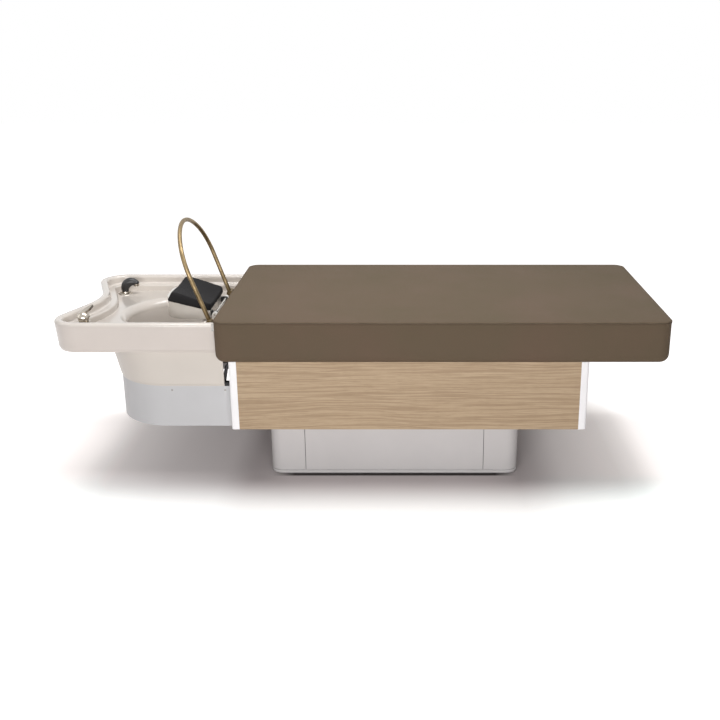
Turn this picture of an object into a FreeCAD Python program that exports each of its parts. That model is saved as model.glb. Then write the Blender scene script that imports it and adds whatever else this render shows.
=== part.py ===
# Hair washing bed: a lifting couch with a moulded basin, a tilting water ring and a tilting headrest.
# Millimetres. X runs along the bed from the basin to the foot, Y across it, Z up.
# The origin is on the floor, under the middle of the whole object.
import FreeCAD, Part
import math
import os

os.makedirs("parts", exist_ok=True)
V = FreeCAD.Vector

# Driving dimensions of the bed
MATTRESS_LENGTH = 1558.0
MATTRESS_WIDTH = 850.0
MATTRESS_THICKNESS = 144.0
MATTRESS_TOP = 620.0
BASIN_REACH = 588.0
LIFT_TRAVEL = 180.0
JOIN = 0.3
OVERRUN = 5.0

FOOT_X = (MATTRESS_LENGTH + BASIN_REACH) / 2
HEAD_X = FOOT_X - MATTRESS_LENGTH
TIP_X = -FOOT_X
MATTRESS_BASE = MATTRESS_TOP - MATTRESS_THICKNESS

# Mattress
MATTRESS_CROWN = 6.0
MATTRESS_DRAW_IN = 5.0
MATTRESS_CORNER = 38.0
MATTRESS_EDGE = 7.0
MATTRESS_FOOT_ROUND = 24.0
CROWN_SHOULDER = 90.0

# Mattress board
BOARD_THICKNESS = 18.0
BOARD_FOOT_GAP = 68.0
BOARD_SIDE_GAP = 20.0
BOARD_CORNER = 30.0

# Wooden casing round the frame
CASING_LENGTH = 1202.0
CASING_SIDE_GAP = 40.0
CASING_HEIGHT = 264.0
CASING_HEAD_GAP = 61.0
WOOD_THICKNESS = 18.0
END_PANEL_THICKNESS = 28.0
END_PANEL_ROUND = 10.0
CASING_TOP_GAP = 2.0

# Steel frame
RAIL_HEIGHT = 40.0
RAIL_WIDTH = 30.0
RAIL_WALL = 3.0
RAIL_SHELL_GAP = 70.0
RAIL_FOOT_GAP = 12.0
RAIL_HEAD_REACH = 340.0
BRACKET_LENGTH = 40.0
BRACKET_THICKNESS = 4.0
SLOT_CLEARANCE = 1.0

# Plinth
PLINTH_LENGTH = 908.0
PLINTH_WIDTH = 620.0
PLINTH_HEIGHT = 400.0
PLINTH_HEAD_GAP = 155.0
PLINTH_WALL = 4.0
PLINTH_CORNER = 45.0
PLINTH_COVER_LENGTH = 127.0
PLINTH_SEAM = 2.0
POST_WIDTH = 40.0
POST_THICKNESS = 5.0
FOOT_HEIGHT = 8.0
FOOT_RADIUS = 25.0
FOOT_INSET = 65.0
PLATE_THICKNESS = 10.0
PLATE_INSET = 5.0

# Lifting columns
COLUMN_SPACING = 460.0
COLUMN_SIZE = 120.0
COLUMN_WALL = 5.0
COLUMN_HEIGHT = 362.0
COLUMN_CORNER = 12.0
INNER_SIZE = 100.0
INNER_WALL = 3.0
INNER_CORNER = 9.0
INNER_FLOOR_GAP = 22.0
GLIDE_WIDTH = 50.0
GLIDE_HEIGHT = 40.0
GLIDE_TOP_GAP = 5.0
GLIDE_PITCH = 110.0
TOP_PLATE_SIZE = 170.0
TOP_PLATE_THICKNESS = 6.0
ACTUATOR_RADIUS = 24.0
ACTUATOR_HEIGHT = 312.0
MOTOR_RADIUS = 38.0
MOTOR_HEIGHT = 60.0
ROD_RADIUS = 14.0
ROD_CLEARANCE = 0.05
ROD_ENGAGEMENT = 60.0

# Control box and cable gland
CONTROL_LENGTH = 190.0
CONTROL_WIDTH = 110.0
CONTROL_HEIGHT = 64.0
CONTROL_ROUND = 5.0
GLAND_HEX = 13.0
GLAND_HEX_HEIGHT = 6.0
GLAND_DOME_RADIUS = 10.0
GLAND_DOME_HEIGHT = 16.0
GLAND_THREAD_RADIUS = 8.0
GLAND_THREAD_LENGTH = 14.0
GLAND_HEIGHT = 85.0
GLAND_SEAM_GAP = 97.0

# Basin moulding
BASIN_WIDTH = 736.0
BASIN_END_GAP = 12.0
BITE_DEPTH = 72.0
BITE_RADIUS = 320.0
LOBE_RADIUS = 94.0
RIM_DROP = 25.0
RIM_WIDTH = 28.0
RIM_ROUND = 11.0
RIM_BAND = 2.0
LEDGE_DROP = 33.0
LEDGE_WIDTH = 28.0
LEDGE_ROUND = 7.0
DECK_DROP = 25.0
DECK_THICKNESS = 8.0
TRAY_HEIGHT = 110.0
TRAY_DRAFT = 7.0
TRAY_UNDER_ROUND = 14.0
TRAY_WALL = 12.0
TRAY_FLANGE = 7.0
TRAY_FLANGE_WIDTH = 14.0
TRAY_CORNER = 12.0
POCKET_CORNER = 24.0
BOWL_RADIUS = 205.0
BOWL_REACH = 200.0
BOWL_CUT = 80.0
BOWL_CORNER = 60.0
BOWL_LIP = 34.0
BOWL_WALL = 6.0
BOWL_DEPTH = 173.0
BOWL_SPLIT_DEPTH = 82.0
BOWL_DEPTH_SHARES = (0.0, 0.45, 0.8, 0.95, 1.0)
BOWL_INSET_SHARES = (0.0, 0.07, 0.24, 0.44, 0.62)
BOWL_LIP_STEPS = 4

# Shell under the basin and the cover below it
SHELL_WALL = 5.0
SHELL_WIDTH = 640.0
SHELL_HEAD_REACH = 414.0
SHELL_END_OVERLAP = 4.0
SHELL_MATTRESS_GAP = 8.0
SHELL_DEPTH = 271.0
SHELL_CORNER = 210.0
SHELL_FLARE_X = 40.0
SHELL_FLARE_Y = 12.0
SHELL_FOOT_ROUND = 9.0
COVER_STEP = 3.0
COVER_WALL = 5.0
COVER_DEPTH = 424.0
COVER_SCREW_RADIUS = 3.5
COVER_SCREW_DROP = 15.0
COVER_SCREW_HEAD = 1.8
COVER_SCREW_LENGTH = 14.0
COVER_SCREW_SPAN = 190.0
COVER_SCREW_END = 28.0
COVER_RIB = 7.0
BUFFER_LENGTH = 24.0
BUFFER_LAP = 7.0
BUFFER_WIDTH = 20.0
BUFFER_HEIGHT = 14.0

# Basin support
SUPPORT_POST = 26.0
SUPPORT_HEAD_X = 322.0
SUPPORT_FOOT_X = 70.0
CLIP_WIDTH = 9.0
CLIP_HEIGHT = 25.0
CLIP_THICKNESS = 1.6
CLIP_DEPTH = 6.0
CLIP_DROP = 1.0
CLIP_WRAP = 2.0

# Waste
FLANGE_RADIUS = 29.0
FLANGE_THICKNESS = 3.0
TAIL_RADIUS = 19.0
TAIL_LENGTH = 34.0
TAIL_WALL = 2.5
STRAINER_RADIUS = 19.0
STRAINER_HEIGHT = 12.0
STRAINER_WALL = 1.5
STRAINER_HOLE_RADIUS = 2.2
STRAINER_HOLE_COUNT = 8
STRAINER_HOLE_RING = 13.0
STRAINER_KNOB_RADIUS = 5.0
STRAINER_KNOB_HEIGHT = 9.0
TRAP_RADIUS = 32.0
TRAP_HEIGHT = 78.0
TRAP_NUT_RADIUS = 26.0
TRAP_NUT_HEIGHT = 14.0
WASTE_RADIUS = 16.0
WASTE_WALL = 2.0
WASTE_BEND = 34.0
WASTE_RUN = 96.0
WASTE_DROP_LENGTH = 60.0

# Water supply
MANIFOLD_LENGTH = 60.0
MANIFOLD_WIDTH = 26.0
MANIFOLD_HEIGHT = 26.0
MANIFOLD_REACH = 45.0
MANIFOLD_SIDE = 205.0
VALVE_LENGTH = 34.0
VALVE_WIDTH = 36.0
VALVE_HEIGHT = 26.0
VALVE_ROUND = 4.0
HOSE_RADIUS = 6.5
HOSE_SPIGOT = 16.0
HOSE_BEND = 40.0
HOSE_OFFSET = 20.0
HOSE_DROP = 186.0
HOSE_LOW_DROP = 300.0
HOSE_HOLE_CLEARANCE = 7.0

# Water ring and its pivots
RING_TUBE_RADIUS = 8.0
RING_TUBE_WALL = 1.5
RING_HALF_WIDTH = 217.0
RING_FOOT_HALF_WIDTH = 209.0
RING_LEG = 175.0
RING_RISE = 175.0
RING_SIDE_RADIUS = 150.0
RING_LEAN = 19.5
PIVOT_REACH = 56.0
PIVOT_HEIGHT = 18.0
KNUCKLE_RADIUS = 12.0
KNUCKLE_LENGTH = 20.0
PIVOT_PIN_RADIUS = 5.0
PIVOT_BLOCK_LENGTH = 24.0
PIVOT_BLOCK_WIDTH = 16.0
PIVOT_CAP_RADIUS = 8.0
PIVOT_CAP_THICKNESS = 3.0
RUNNING_CLEARANCE = 0.05

# Headrest
PAD_LENGTH = 168.0
PAD_WIDTH = 280.0
PAD_THICKNESS = 45.0
PAD_TILT = 14.0
PAD_CORNER = 16.0
PAD_TAPER_X = 15.0
PAD_TAPER_Y = 12.0
PAD_SADDLE = 9.0
PAD_WEDGE = 5.0
PAD_EDGE = 5.0
PAD_LOW_REACH = 66.0
PAD_LOW_DROP = 49.0
CARRIER_HEAD_REACH = 243.0
CARRIER_END_REACH = 72.0
CARRIER_WIDTH = 246.0
CARRIER_CORNER = 84.0
CARRIER_END_CORNER = 15.0
CARRIER_WALL = 4.0
CARRIER_FLOOR_GAP = 4.0
HINGE_REACH = 55.0
HINGE_HEIGHT = 22.0
HINGE_PIN_RADIUS = 4.0
HINGE_BLOCK_LENGTH = 18.0
HINGE_BLOCK_WIDTH = 18.0
HINGE_BLOCK_Y = 118.0
HINGE_ARM_THICKNESS = 6.0
HINGE_ARM_EYE = 9.0
HINGE_ARM_GAP = 2.0

# Taps on the basin's deck
TAP_REACH = 492.0
TAP_Y = 265.0
TAP_FIELD = 42.0
MIXER_RADIUS = 24.0
MIXER_HEIGHT = 38.0
MIXER_FOOT_RADIUS = 27.0
MIXER_FOOT_HEIGHT = 5.0
MIXER_PIN_RADIUS = 5.0
MIXER_PIN_LENGTH = 10.0
BALL_RADIUS = 20.0
BALL_RISE = 12.0
LEVER_LENGTH = 54.0
LEVER_WIDTH = 24.0
LEVER_THICKNESS = 8.0
LEVER_RISE = 26.0
LEVER_TURN = 45.0
LEVER_SINK = 3.0
LEVER_SKIRT_SHARE = 0.2
LEVER_PIN_RADIUS = 2.5
LEVER_EAR_RADIUS = 6.5
NECK_RADIUS = 17.0
NECK_LENGTH = 30.0
BACK_NUT_RADIUS = 23.0
BACK_NUT_HEIGHT = 8.0
COLLAR_RADIUS = 13.0
COLLAR_HEAD_RADIUS = 17.0
COLLAR_HEAD_HEIGHT = 5.0
COLLAR_LENGTH = 30.0
ESCUTCHEON_RADIUS = 28.0
ESCUTCHEON_HEIGHT = 5.0
SHANK_RADIUS = 9.5
SHANK_LENGTH = 44.0
HANDLE_RADIUS = 11.5
HANDLE_SHARES = (1.08, 1.3, 1.22)
HANDLE_RISE = 9.0
HANDLE_BEND = 30.0
HANDLE_BEND_ANGLE = 108.0
HANDLE_NOSE = 8.0
SPRAY_RADIUS = 11.0
SPRAY_LIP = 2.0

# Heights that follow from the driving dimensions
BOARD_BASE = MATTRESS_BASE - BOARD_THICKNESS
RAIL_BASE = BOARD_BASE - RAIL_HEIGHT
CASING_TOP = MATTRESS_BASE - CASING_TOP_GAP
CASING_BASE = CASING_TOP - CASING_HEIGHT
PLATE_TOP = FOOT_HEIGHT + PLATE_THICKNESS
RIM_Z = MATTRESS_TOP - RIM_DROP
LEDGE_Z = RIM_Z - LEDGE_DROP
DECK_Z = LEDGE_Z - DECK_DROP
DECK_UNDER = DECK_Z - DECK_THICKNESS
TRAY_BASE = RIM_Z - TRAY_HEIGHT
BOWL_FLOOR = DECK_Z - BOWL_DEPTH
SHELL_BASE = MATTRESS_TOP - SHELL_DEPTH
COVER_BASE = MATTRESS_TOP - COVER_DEPTH

# Places along the bed that follow from the driving dimensions
HALF_MATTRESS = MATTRESS_WIDTH / 2
CASING_HEAD = HEAD_X + CASING_HEAD_GAP
CASING_FOOT = CASING_HEAD + CASING_LENGTH
PANEL_HEAD = CASING_HEAD - END_PANEL_THICKNESS
PANEL_FOOT = CASING_FOOT + END_PANEL_THICKNESS
HALF_CASING = HALF_MATTRESS - CASING_SIDE_GAP
PLINTH_HEAD = HEAD_X + PLINTH_HEAD_GAP
PLINTH_FOOT = PLINTH_HEAD + PLINTH_LENGTH
PLINTH_MIDDLE = (PLINTH_HEAD + PLINTH_FOOT) / 2
HALF_PLINTH = PLINTH_WIDTH / 2
HALF_BOARD = HALF_CASING - WOOD_THICKNESS - BOARD_SIDE_GAP
HALF_BASIN = BASIN_WIDTH / 2
BASIN_END = HEAD_X - BASIN_END_GAP
BOWL_X = HEAD_X - BOWL_REACH
SHELL_END = HEAD_X + SHELL_END_OVERLAP
SHELL_HEAD = HEAD_X - SHELL_HEAD_REACH
HALF_SHELL = SHELL_WIDTH / 2
HALF_RAILS = HALF_SHELL - RAIL_SHELL_GAP
PIVOT_X = HEAD_X - PIVOT_REACH
PIVOT_Z = DECK_Z + PIVOT_HEIGHT
HINGE_X = HEAD_X - HINGE_REACH
HINGE_Z = DECK_Z + HINGE_HEIGHT
TAP_X = HEAD_X - TAP_REACH
MANIFOLD_X = HEAD_X - MANIFOLD_REACH
MANIFOLD_Y = -MANIFOLD_SIDE
HOSE_Y = -HALF_RAILS - RAIL_WIDTH / 2 - HOSE_OFFSET
COLUMN_PLACES = (PLINTH_MIDDLE - COLUMN_SPACING / 2, PLINTH_MIDDLE + COLUMN_SPACING / 2)
SIDES = (-1, 1)


def line(a, b):
    return Part.LineSegment(a, b).toShape()


def arc(a, b, c):
    return Part.Arc(a, b, c).toShape()


def box(x0, x1, y0, y1, z0, z1):
    return Part.makeBox(x1 - x0, y1 - y0, z1 - z0, V(x0, y0, z0))


def rod(centre, radius, length, axis=V(0, 0, 1)):
    return Part.makeCylinder(radius, length, centre, axis)


def prism(wire, height):
    return Part.Face(wire).extrude(V(0, 0, height))


def revolve(profile, centre):
    """Turn a closed profile of (radius, height) points about an upright axis."""
    points = [V(centre.x + r, centre.y, centre.z + z) for r, z in profile]
    wire = Part.makePolygon(points + points[:1])
    return Part.Face(wire).revolve(centre, V(0, 0, 1), 360)


def group(shapes):
    return Part.makeCompound(shapes)


def save(node, shape):
    shape.exportStep("parts/" + node + ".step")


def flat_edges(shape, z):
    """The edges of a shape that lie in the level plane at z."""
    tolerance = JOIN / 10
    found = []
    for edge in shape.Edges:
        bounds = edge.BoundBox
        if abs(bounds.ZMin - z) < tolerance and abs(bounds.ZMax - z) < tolerance:
            found.append(edge)
    return found


def upright_edges(shape):
    """The straight upright edges of a shape."""
    found = []
    for edge in shape.Edges:
        bounds = edge.BoundBox
        if bounds.XLength < JOIN and bounds.YLength < JOIN and bounds.ZLength > JOIN:
            found.append(edge)
    return found


def round_rectangle(x0, x1, y0, y1, z, radius, end_radius=None, bow=0.0):
    """A level outline with rounded corners; bow draws each side in between its corners."""
    far = radius if end_radius is None else end_radius
    k = 1 - math.sqrt(0.5)
    xm = (x0 + x1) / 2
    ym = (y0 + y1) / 2

    def side(a, b, middle):
        if bow > 0:
            return arc(a, middle, b)
        return line(a, b)

    edges = [
        side(V(x0 + radius, y0, z), V(x1 - far, y0, z), V(xm, y0 + bow, z)),
        arc(V(x1 - far, y0, z), V(x1 - k * far, y0 + k * far, z), V(x1, y0 + far, z)),
        side(V(x1, y0 + far, z), V(x1, y1 - far, z), V(x1 - bow, ym, z)),
        arc(V(x1, y1 - far, z), V(x1 - k * far, y1 - k * far, z), V(x1 - far, y1, z)),
        side(V(x1 - far, y1, z), V(x0 + radius, y1, z), V(xm, y1 - bow, z)),
        arc(V(x0 + radius, y1, z), V(x0 + k * radius, y1 - k * radius, z), V(x0, y1 - radius, z)),
        side(V(x0, y1 - radius, z), V(x0, y0 + radius, z), V(x0 + bow, ym, z)),
        arc(V(x0, y0 + radius, z), V(x0 + k * radius, y0 + k * radius, z), V(x0 + radius, y0, z)),
    ]
    return Part.Wire(edges)


def tube_along(path, radius):
    """A round bar along a smooth path of straight runs and tangent arcs."""
    start = path.Edges[0]
    direction = start.tangentAt(start.FirstParameter)
    circle = Part.Wire([Part.Circle(start.valueAt(start.FirstParameter), direction, radius).toShape()])
    return path.makePipeShell([circle], True, False)


def bent_path(points, radius):
    """Straight runs through the points, with a tangent arc of one radius at each corner."""
    edges = []
    start = points[0]
    for before, corner, after in zip(points, points[1:], points[2:]):
        back = (before - corner).normalize()
        ahead = (after - corner).normalize()
        half = back.getAngle(ahead) / 2
        tangent = radius / math.tan(half)
        enter = corner + back * tangent
        leave = corner + ahead * tangent
        middle = corner + (back + ahead).normalize() * (radius / math.sin(half) - radius)
        edges.append(line(start, enter))
        edges.append(arc(enter, middle, leave))
        start = leave
    edges.append(line(start, points[-1]))
    return Part.Wire(edges)


def mirrored(shape):
    """The same shape on the other side of the bed."""
    return shape.mirror(V(0, 0, 0), V(0, 1, 0))


# Mattress: firm foam with a crowned top, a welt edge and sides drawn in between the corners
def mattress():
    def section(inset, z, bow):
        return round_rectangle(
            HEAD_X + inset, FOOT_X - inset, inset - HALF_MATTRESS, HALF_MATTRESS - inset,
            z, MATTRESS_CORNER, bow=bow)

    body = Part.makeLoft([
        section(MATTRESS_FOOT_ROUND, MATTRESS_BASE, MATTRESS_DRAW_IN),
        section(MATTRESS_FOOT_ROUND / 4, MATTRESS_BASE + MATTRESS_FOOT_ROUND / 3, MATTRESS_DRAW_IN),
        section(0, MATTRESS_BASE + MATTRESS_FOOT_ROUND, MATTRESS_DRAW_IN),
        section(0, MATTRESS_TOP - MATTRESS_EDGE, MATTRESS_DRAW_IN),
        section(MATTRESS_EDGE, MATTRESS_TOP, MATTRESS_DRAW_IN),
    ], True, True)
    crown = Part.makeLoft([
        section(MATTRESS_EDGE, MATTRESS_TOP, MATTRESS_DRAW_IN),
        section(CROWN_SHOULDER, MATTRESS_TOP + MATTRESS_CROWN * 3 / 4, MATTRESS_DRAW_IN),
        section(2 * CROWN_SHOULDER, MATTRESS_TOP + MATTRESS_CROWN, MATTRESS_DRAW_IN),
    ], True, True)
    return body.fuse(crown)


# Board under the mattress
def mattress_board():
    outline = round_rectangle(
        CASING_HEAD, FOOT_X - BOARD_FOOT_GAP, -HALF_BOARD, HALF_BOARD, BOARD_BASE, BOARD_CORNER)
    return prism(outline, BOARD_THICKNESS)


# Casing panels: wood along the sides, painted panels across the ends
def wood_panel(side):
    inner = HALF_CASING - WOOD_THICKNESS
    y0, y1 = sorted((side * inner, side * HALF_CASING))
    return box(CASING_HEAD, CASING_FOOT, y0, y1, CASING_BASE, CASING_TOP)


def end_panel(x0, x1, outer_x, holes):
    panel = box(x0, x1, -HALF_CASING, HALF_CASING, CASING_BASE, CASING_TOP)
    corners = []
    for edge in upright_edges(panel):
        if abs(edge.BoundBox.XMin - outer_x) < JOIN:
            corners.append(edge)
    panel = panel.makeFillet(END_PANEL_ROUND, corners)
    for hole in holes:
        panel = panel.cut(hole)
    return panel


# Frame: two long rails that also carry the basin, four cross members and the panel brackets
RAIL_HEAD = HEAD_X - RAIL_HEAD_REACH
RAIL_FOOT = CASING_FOOT - RAIL_FOOT_GAP


def hollow_bar(x0, x1, y0, y1, z0, z1, wall, along_x):
    bar = box(x0, x1, y0, y1, z0, z1)
    if along_x:
        core = box(x0 - OVERRUN, x1 + OVERRUN, y0 + wall, y1 - wall, z0 + wall, z1 - wall)
    else:
        core = box(x0 + wall, x1 - wall, y0 - OVERRUN, y1 + OVERRUN, z0 + wall, z1 - wall)
    return bar.cut(core)


def rail(side):
    y = side * HALF_RAILS
    return hollow_bar(
        RAIL_HEAD, RAIL_FOOT, y - RAIL_WIDTH / 2, y + RAIL_WIDTH / 2,
        RAIL_BASE, BOARD_BASE, RAIL_WALL, True)


def cross_members():
    reach = HALF_RAILS - RAIL_WIDTH / 2
    bars = []
    for column_x in COLUMN_PLACES:
        for side in SIDES:
            x = column_x + side * (TOP_PLATE_SIZE - RAIL_WIDTH) / 2
            bars.append(hollow_bar(
                x - RAIL_WIDTH / 2, x + RAIL_WIDTH / 2, -reach, reach,
                RAIL_BASE, BOARD_BASE, RAIL_WALL, False))
    return group(bars)


def panel_brackets():
    """Angle brackets between the rails and the wooden side panels."""
    inner = HALF_RAILS + RAIL_WIDTH / 2
    outer = HALF_CASING - WOOD_THICKNESS
    places = (CASING_HEAD + 2 * BRACKET_LENGTH, PLINTH_MIDDLE, CASING_FOOT - 3 * BRACKET_LENGTH)
    brackets = []
    for x in places:
        shelf = box(x, x + BRACKET_LENGTH, inner, outer, BOARD_BASE - BRACKET_THICKNESS, BOARD_BASE)
        for y in (inner, outer - BRACKET_THICKNESS):
            leg = box(x, x + BRACKET_LENGTH, y, y + BRACKET_THICKNESS, RAIL_BASE, BOARD_BASE)
            shelf = shelf.fuse(leg)
        shelf = shelf.removeSplitter()
        brackets.append(shelf)
        brackets.append(mirrored(shelf))
    return group(brackets)


def end_brackets():
    """Short angles that hold the two end panels to the rails' inner sides."""
    outer = HALF_RAILS - RAIL_WIDTH / 2
    brackets = []
    for panel_x, inward in ((CASING_HEAD, 1), (CASING_FOOT, -1)):
        x0, x1 = sorted((panel_x, panel_x + inward * BRACKET_LENGTH))
        leaf = box(x0, x1, outer - BRACKET_THICKNESS, outer, RAIL_BASE, BOARD_BASE)
        x0, x1 = sorted((panel_x, panel_x + inward * BRACKET_THICKNESS))
        face = box(x0, x1, outer - BRACKET_LENGTH, outer, RAIL_BASE, BOARD_BASE)
        angle = leaf.fuse(face).removeSplitter()
        brackets.append(angle)
        brackets.append(mirrored(angle))
    return group(brackets)


# Lifting columns: an outer and an inner tube, glides between them, and an actuator inside
def square_tube(x, size, wall, corner, z0, z1):
    half = size / 2
    outer = prism(round_rectangle(x - half, x + half, -half, half, z0, corner), z1 - z0)
    half = half - wall
    inner = round_rectangle(
        x - half, x + half, -half, half, z0 - OVERRUN, max(corner - wall, wall))
    return outer.cut(prism(inner, z1 - z0 + 2 * OVERRUN))


def column_outer(x):
    return square_tube(x, COLUMN_SIZE, COLUMN_WALL, COLUMN_CORNER, PLATE_TOP, PLATE_TOP + COLUMN_HEIGHT)


def column_inner(x):
    tube = square_tube(
        x, INNER_SIZE, INNER_WALL, INNER_CORNER,
        PLATE_TOP + INNER_FLOOR_GAP, RAIL_BASE - TOP_PLATE_THICKNESS)
    half = TOP_PLATE_SIZE / 2
    plate = box(x - half, x + half, -half, half, RAIL_BASE - TOP_PLATE_THICKNESS, RAIL_BASE)
    return tube.fuse(plate).removeSplitter()


def column_glides():
    """Plastic pads fixed inside the outer tubes; the inner tubes slide past them."""
    top = PLATE_TOP + COLUMN_HEIGHT - GLIDE_TOP_GAP
    outer = COLUMN_SIZE / 2 - COLUMN_WALL
    inner = INNER_SIZE / 2 + JOIN
    half = GLIDE_WIDTH / 2
    pads = []
    for x in COLUMN_PLACES:
        for level in (0, 1):
            z1 = top - level * GLIDE_PITCH
            z0 = z1 - GLIDE_HEIGHT
            for side in SIDES:
                a, b = sorted((side * inner, side * outer))
                pads.append(box(x + a, x + b, -half, half, z0, z1))
                pads.append(box(x - half, x + half, a, b, z0, z1))
    return group(pads)


def lift_actuators():
    bodies = []
    for x in COLUMN_PLACES:
        base = V(x, 0, PLATE_TOP)
        body = rod(base, MOTOR_RADIUS, MOTOR_HEIGHT).fuse(rod(base, ACTUATOR_RADIUS, ACTUATOR_HEIGHT))
        bore = rod(base + V(0, 0, MOTOR_HEIGHT), ROD_RADIUS + ROD_CLEARANCE, ACTUATOR_HEIGHT)
        bodies.append(body.removeSplitter().cut(bore))
    return group(bodies)


def actuator_rods():
    rods = []
    for x in COLUMN_PLACES:
        z0 = PLATE_TOP + ACTUATOR_HEIGHT - LIFT_TRAVEL - ROD_ENGAGEMENT
        rods.append(rod(V(x, 0, z0), ROD_RADIUS, RAIL_BASE - TOP_PLATE_THICKNESS - z0))
    return group(rods)


# Plinth: base plate, rubber feet, two end covers, two side panels and the posts behind the seams
def base_plate():
    return prism(round_rectangle(
        PLINTH_HEAD + PLATE_INSET, PLINTH_FOOT - PLATE_INSET,
        PLATE_INSET - HALF_PLINTH, HALF_PLINTH - PLATE_INSET,
        FOOT_HEIGHT, PLINTH_CORNER - PLATE_INSET), PLATE_THICKNESS)


def levelling_feet():
    reach_x = PLINTH_LENGTH / 2 - FOOT_INSET
    reach_y = HALF_PLINTH - FOOT_INSET
    feet = []
    for sx in (-1, 0, 1):
        for sy in SIDES:
            x = PLINTH_MIDDLE + sx * (reach_x + FOOT_RADIUS)
            y = sy * (reach_y - FOOT_RADIUS * abs(sx))
            feet.append(rod(V(x, y, 0), FOOT_RADIUS, FOOT_HEIGHT))
    return group(feet)


def plinth_cover(side):
    """A rounded end cover, bent from sheet, open towards the middle of the plinth."""
    height = PLINTH_HEIGHT - PLATE_TOP
    shell = prism(round_rectangle(
        PLINTH_HEAD, PLINTH_FOOT, -HALF_PLINTH, HALF_PLINTH, PLATE_TOP, PLINTH_CORNER), height)
    core = prism(round_rectangle(
        PLINTH_HEAD + PLINTH_WALL, PLINTH_FOOT - PLINTH_WALL,
        PLINTH_WALL - HALF_PLINTH, HALF_PLINTH - PLINTH_WALL,
        PLATE_TOP - OVERRUN, PLINTH_CORNER - PLINTH_WALL), height + 2 * OVERRUN)
    end = PLINTH_MIDDLE + side * PLINTH_LENGTH / 2
    seam = end - side * PLINTH_COVER_LENGTH
    x0, x1 = sorted((end, seam))
    keep = box(x0, x1, -HALF_PLINTH, HALF_PLINTH, PLATE_TOP, PLINTH_HEIGHT)
    return shell.cut(core).common(keep)


def plinth_panel(side):
    x0 = PLINTH_HEAD + PLINTH_COVER_LENGTH + PLINTH_SEAM
    x1 = PLINTH_FOOT - PLINTH_COVER_LENGTH - PLINTH_SEAM
    y0, y1 = sorted((side * HALF_PLINTH, side * (HALF_PLINTH - PLINTH_WALL)))
    panel = box(x0, x1, y0, y1, PLATE_TOP, PLINTH_HEIGHT)
    if side > 0:
        hole_length = PLINTH_WALL + 2 * OVERRUN
        panel = panel.cut(rod(gland_place(OVERRUN), GLAND_THREAD_RADIUS, hole_length, V(0, -1, 0)))
    return panel


def plinth_posts():
    """Flat steel posts on the base plate, behind each seam; panel and cover both screw to them."""
    posts = []
    outer = HALF_PLINTH - PLINTH_WALL
    for seam in (PLINTH_HEAD + PLINTH_COVER_LENGTH, PLINTH_FOOT - PLINTH_COVER_LENGTH):
        for side in SIDES:
            y0, y1 = sorted((side * outer, side * (outer - POST_THICKNESS)))
            posts.append(box(
                seam - POST_WIDTH / 2, seam + POST_WIDTH / 2, y0, y1, PLATE_TOP, PLINTH_HEIGHT - POST_WIDTH))
    return group(posts)


def control_box():
    y0 = -CONTROL_WIDTH / 2
    case = box(
        PLINTH_MIDDLE - CONTROL_LENGTH / 2, PLINTH_MIDDLE + CONTROL_LENGTH / 2,
        y0, y0 + CONTROL_WIDTH, PLATE_TOP, PLATE_TOP + CONTROL_HEIGHT)
    return case.makeFillet(CONTROL_ROUND, upright_edges(case) + flat_edges(case, PLATE_TOP + CONTROL_HEIGHT))


def gland_place(out):
    seam = PLINTH_FOOT - PLINTH_COVER_LENGTH
    return V(seam - GLAND_SEAM_GAP, HALF_PLINTH + out, GLAND_HEIGHT)


def cable_gland():
    """A closed cable gland in the rear panel: dome and hexagon outside, thread and nut inside."""
    outward = V(0, 1, 0)

    def hexagon(start, thickness):
        points = []
        for corner in range(6):
            angle = corner * math.pi / 3
            points.append(start + V(GLAND_HEX * math.cos(angle), 0, GLAND_HEX * math.sin(angle)))
        face = Part.Face(Part.makePolygon(points + points[:1]))
        return face.extrude(outward * thickness)

    dome = rod(gland_place(GLAND_HEX_HEIGHT), GLAND_DOME_RADIUS, GLAND_DOME_HEIGHT, outward)
    thread = rod(gland_place(0), GLAND_THREAD_RADIUS, GLAND_THREAD_LENGTH, -outward)
    nut = hexagon(gland_place(-PLINTH_WALL - GLAND_HEX_HEIGHT), GLAND_HEX_HEIGHT)
    body = hexagon(gland_place(0), GLAND_HEX_HEIGHT)
    gland = dome.fuse(body).fuse(thread).fuse(nut)
    return gland.removeSplitter()


# Basin: one moulding with a rounded rim, a ledge, a deck and a bowl
BITE_CENTRE_X = TIP_X + BITE_DEPTH - BITE_RADIUS
LOBE_CENTRE_X = TIP_X + LOBE_RADIUS
LOBE_CENTRE_Y = HALF_BASIN - LOBE_RADIUS
LOBE_SPAN = math.hypot(LOBE_CENTRE_X - BITE_CENTRE_X, LOBE_CENTRE_Y)
LOBE_ANGLE = (math.atan2(LOBE_CENTRE_Y, LOBE_CENTRE_X - BITE_CENTRE_X)
              - math.acos((LOBE_RADIUS + BITE_RADIUS) / LOBE_SPAN))


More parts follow.
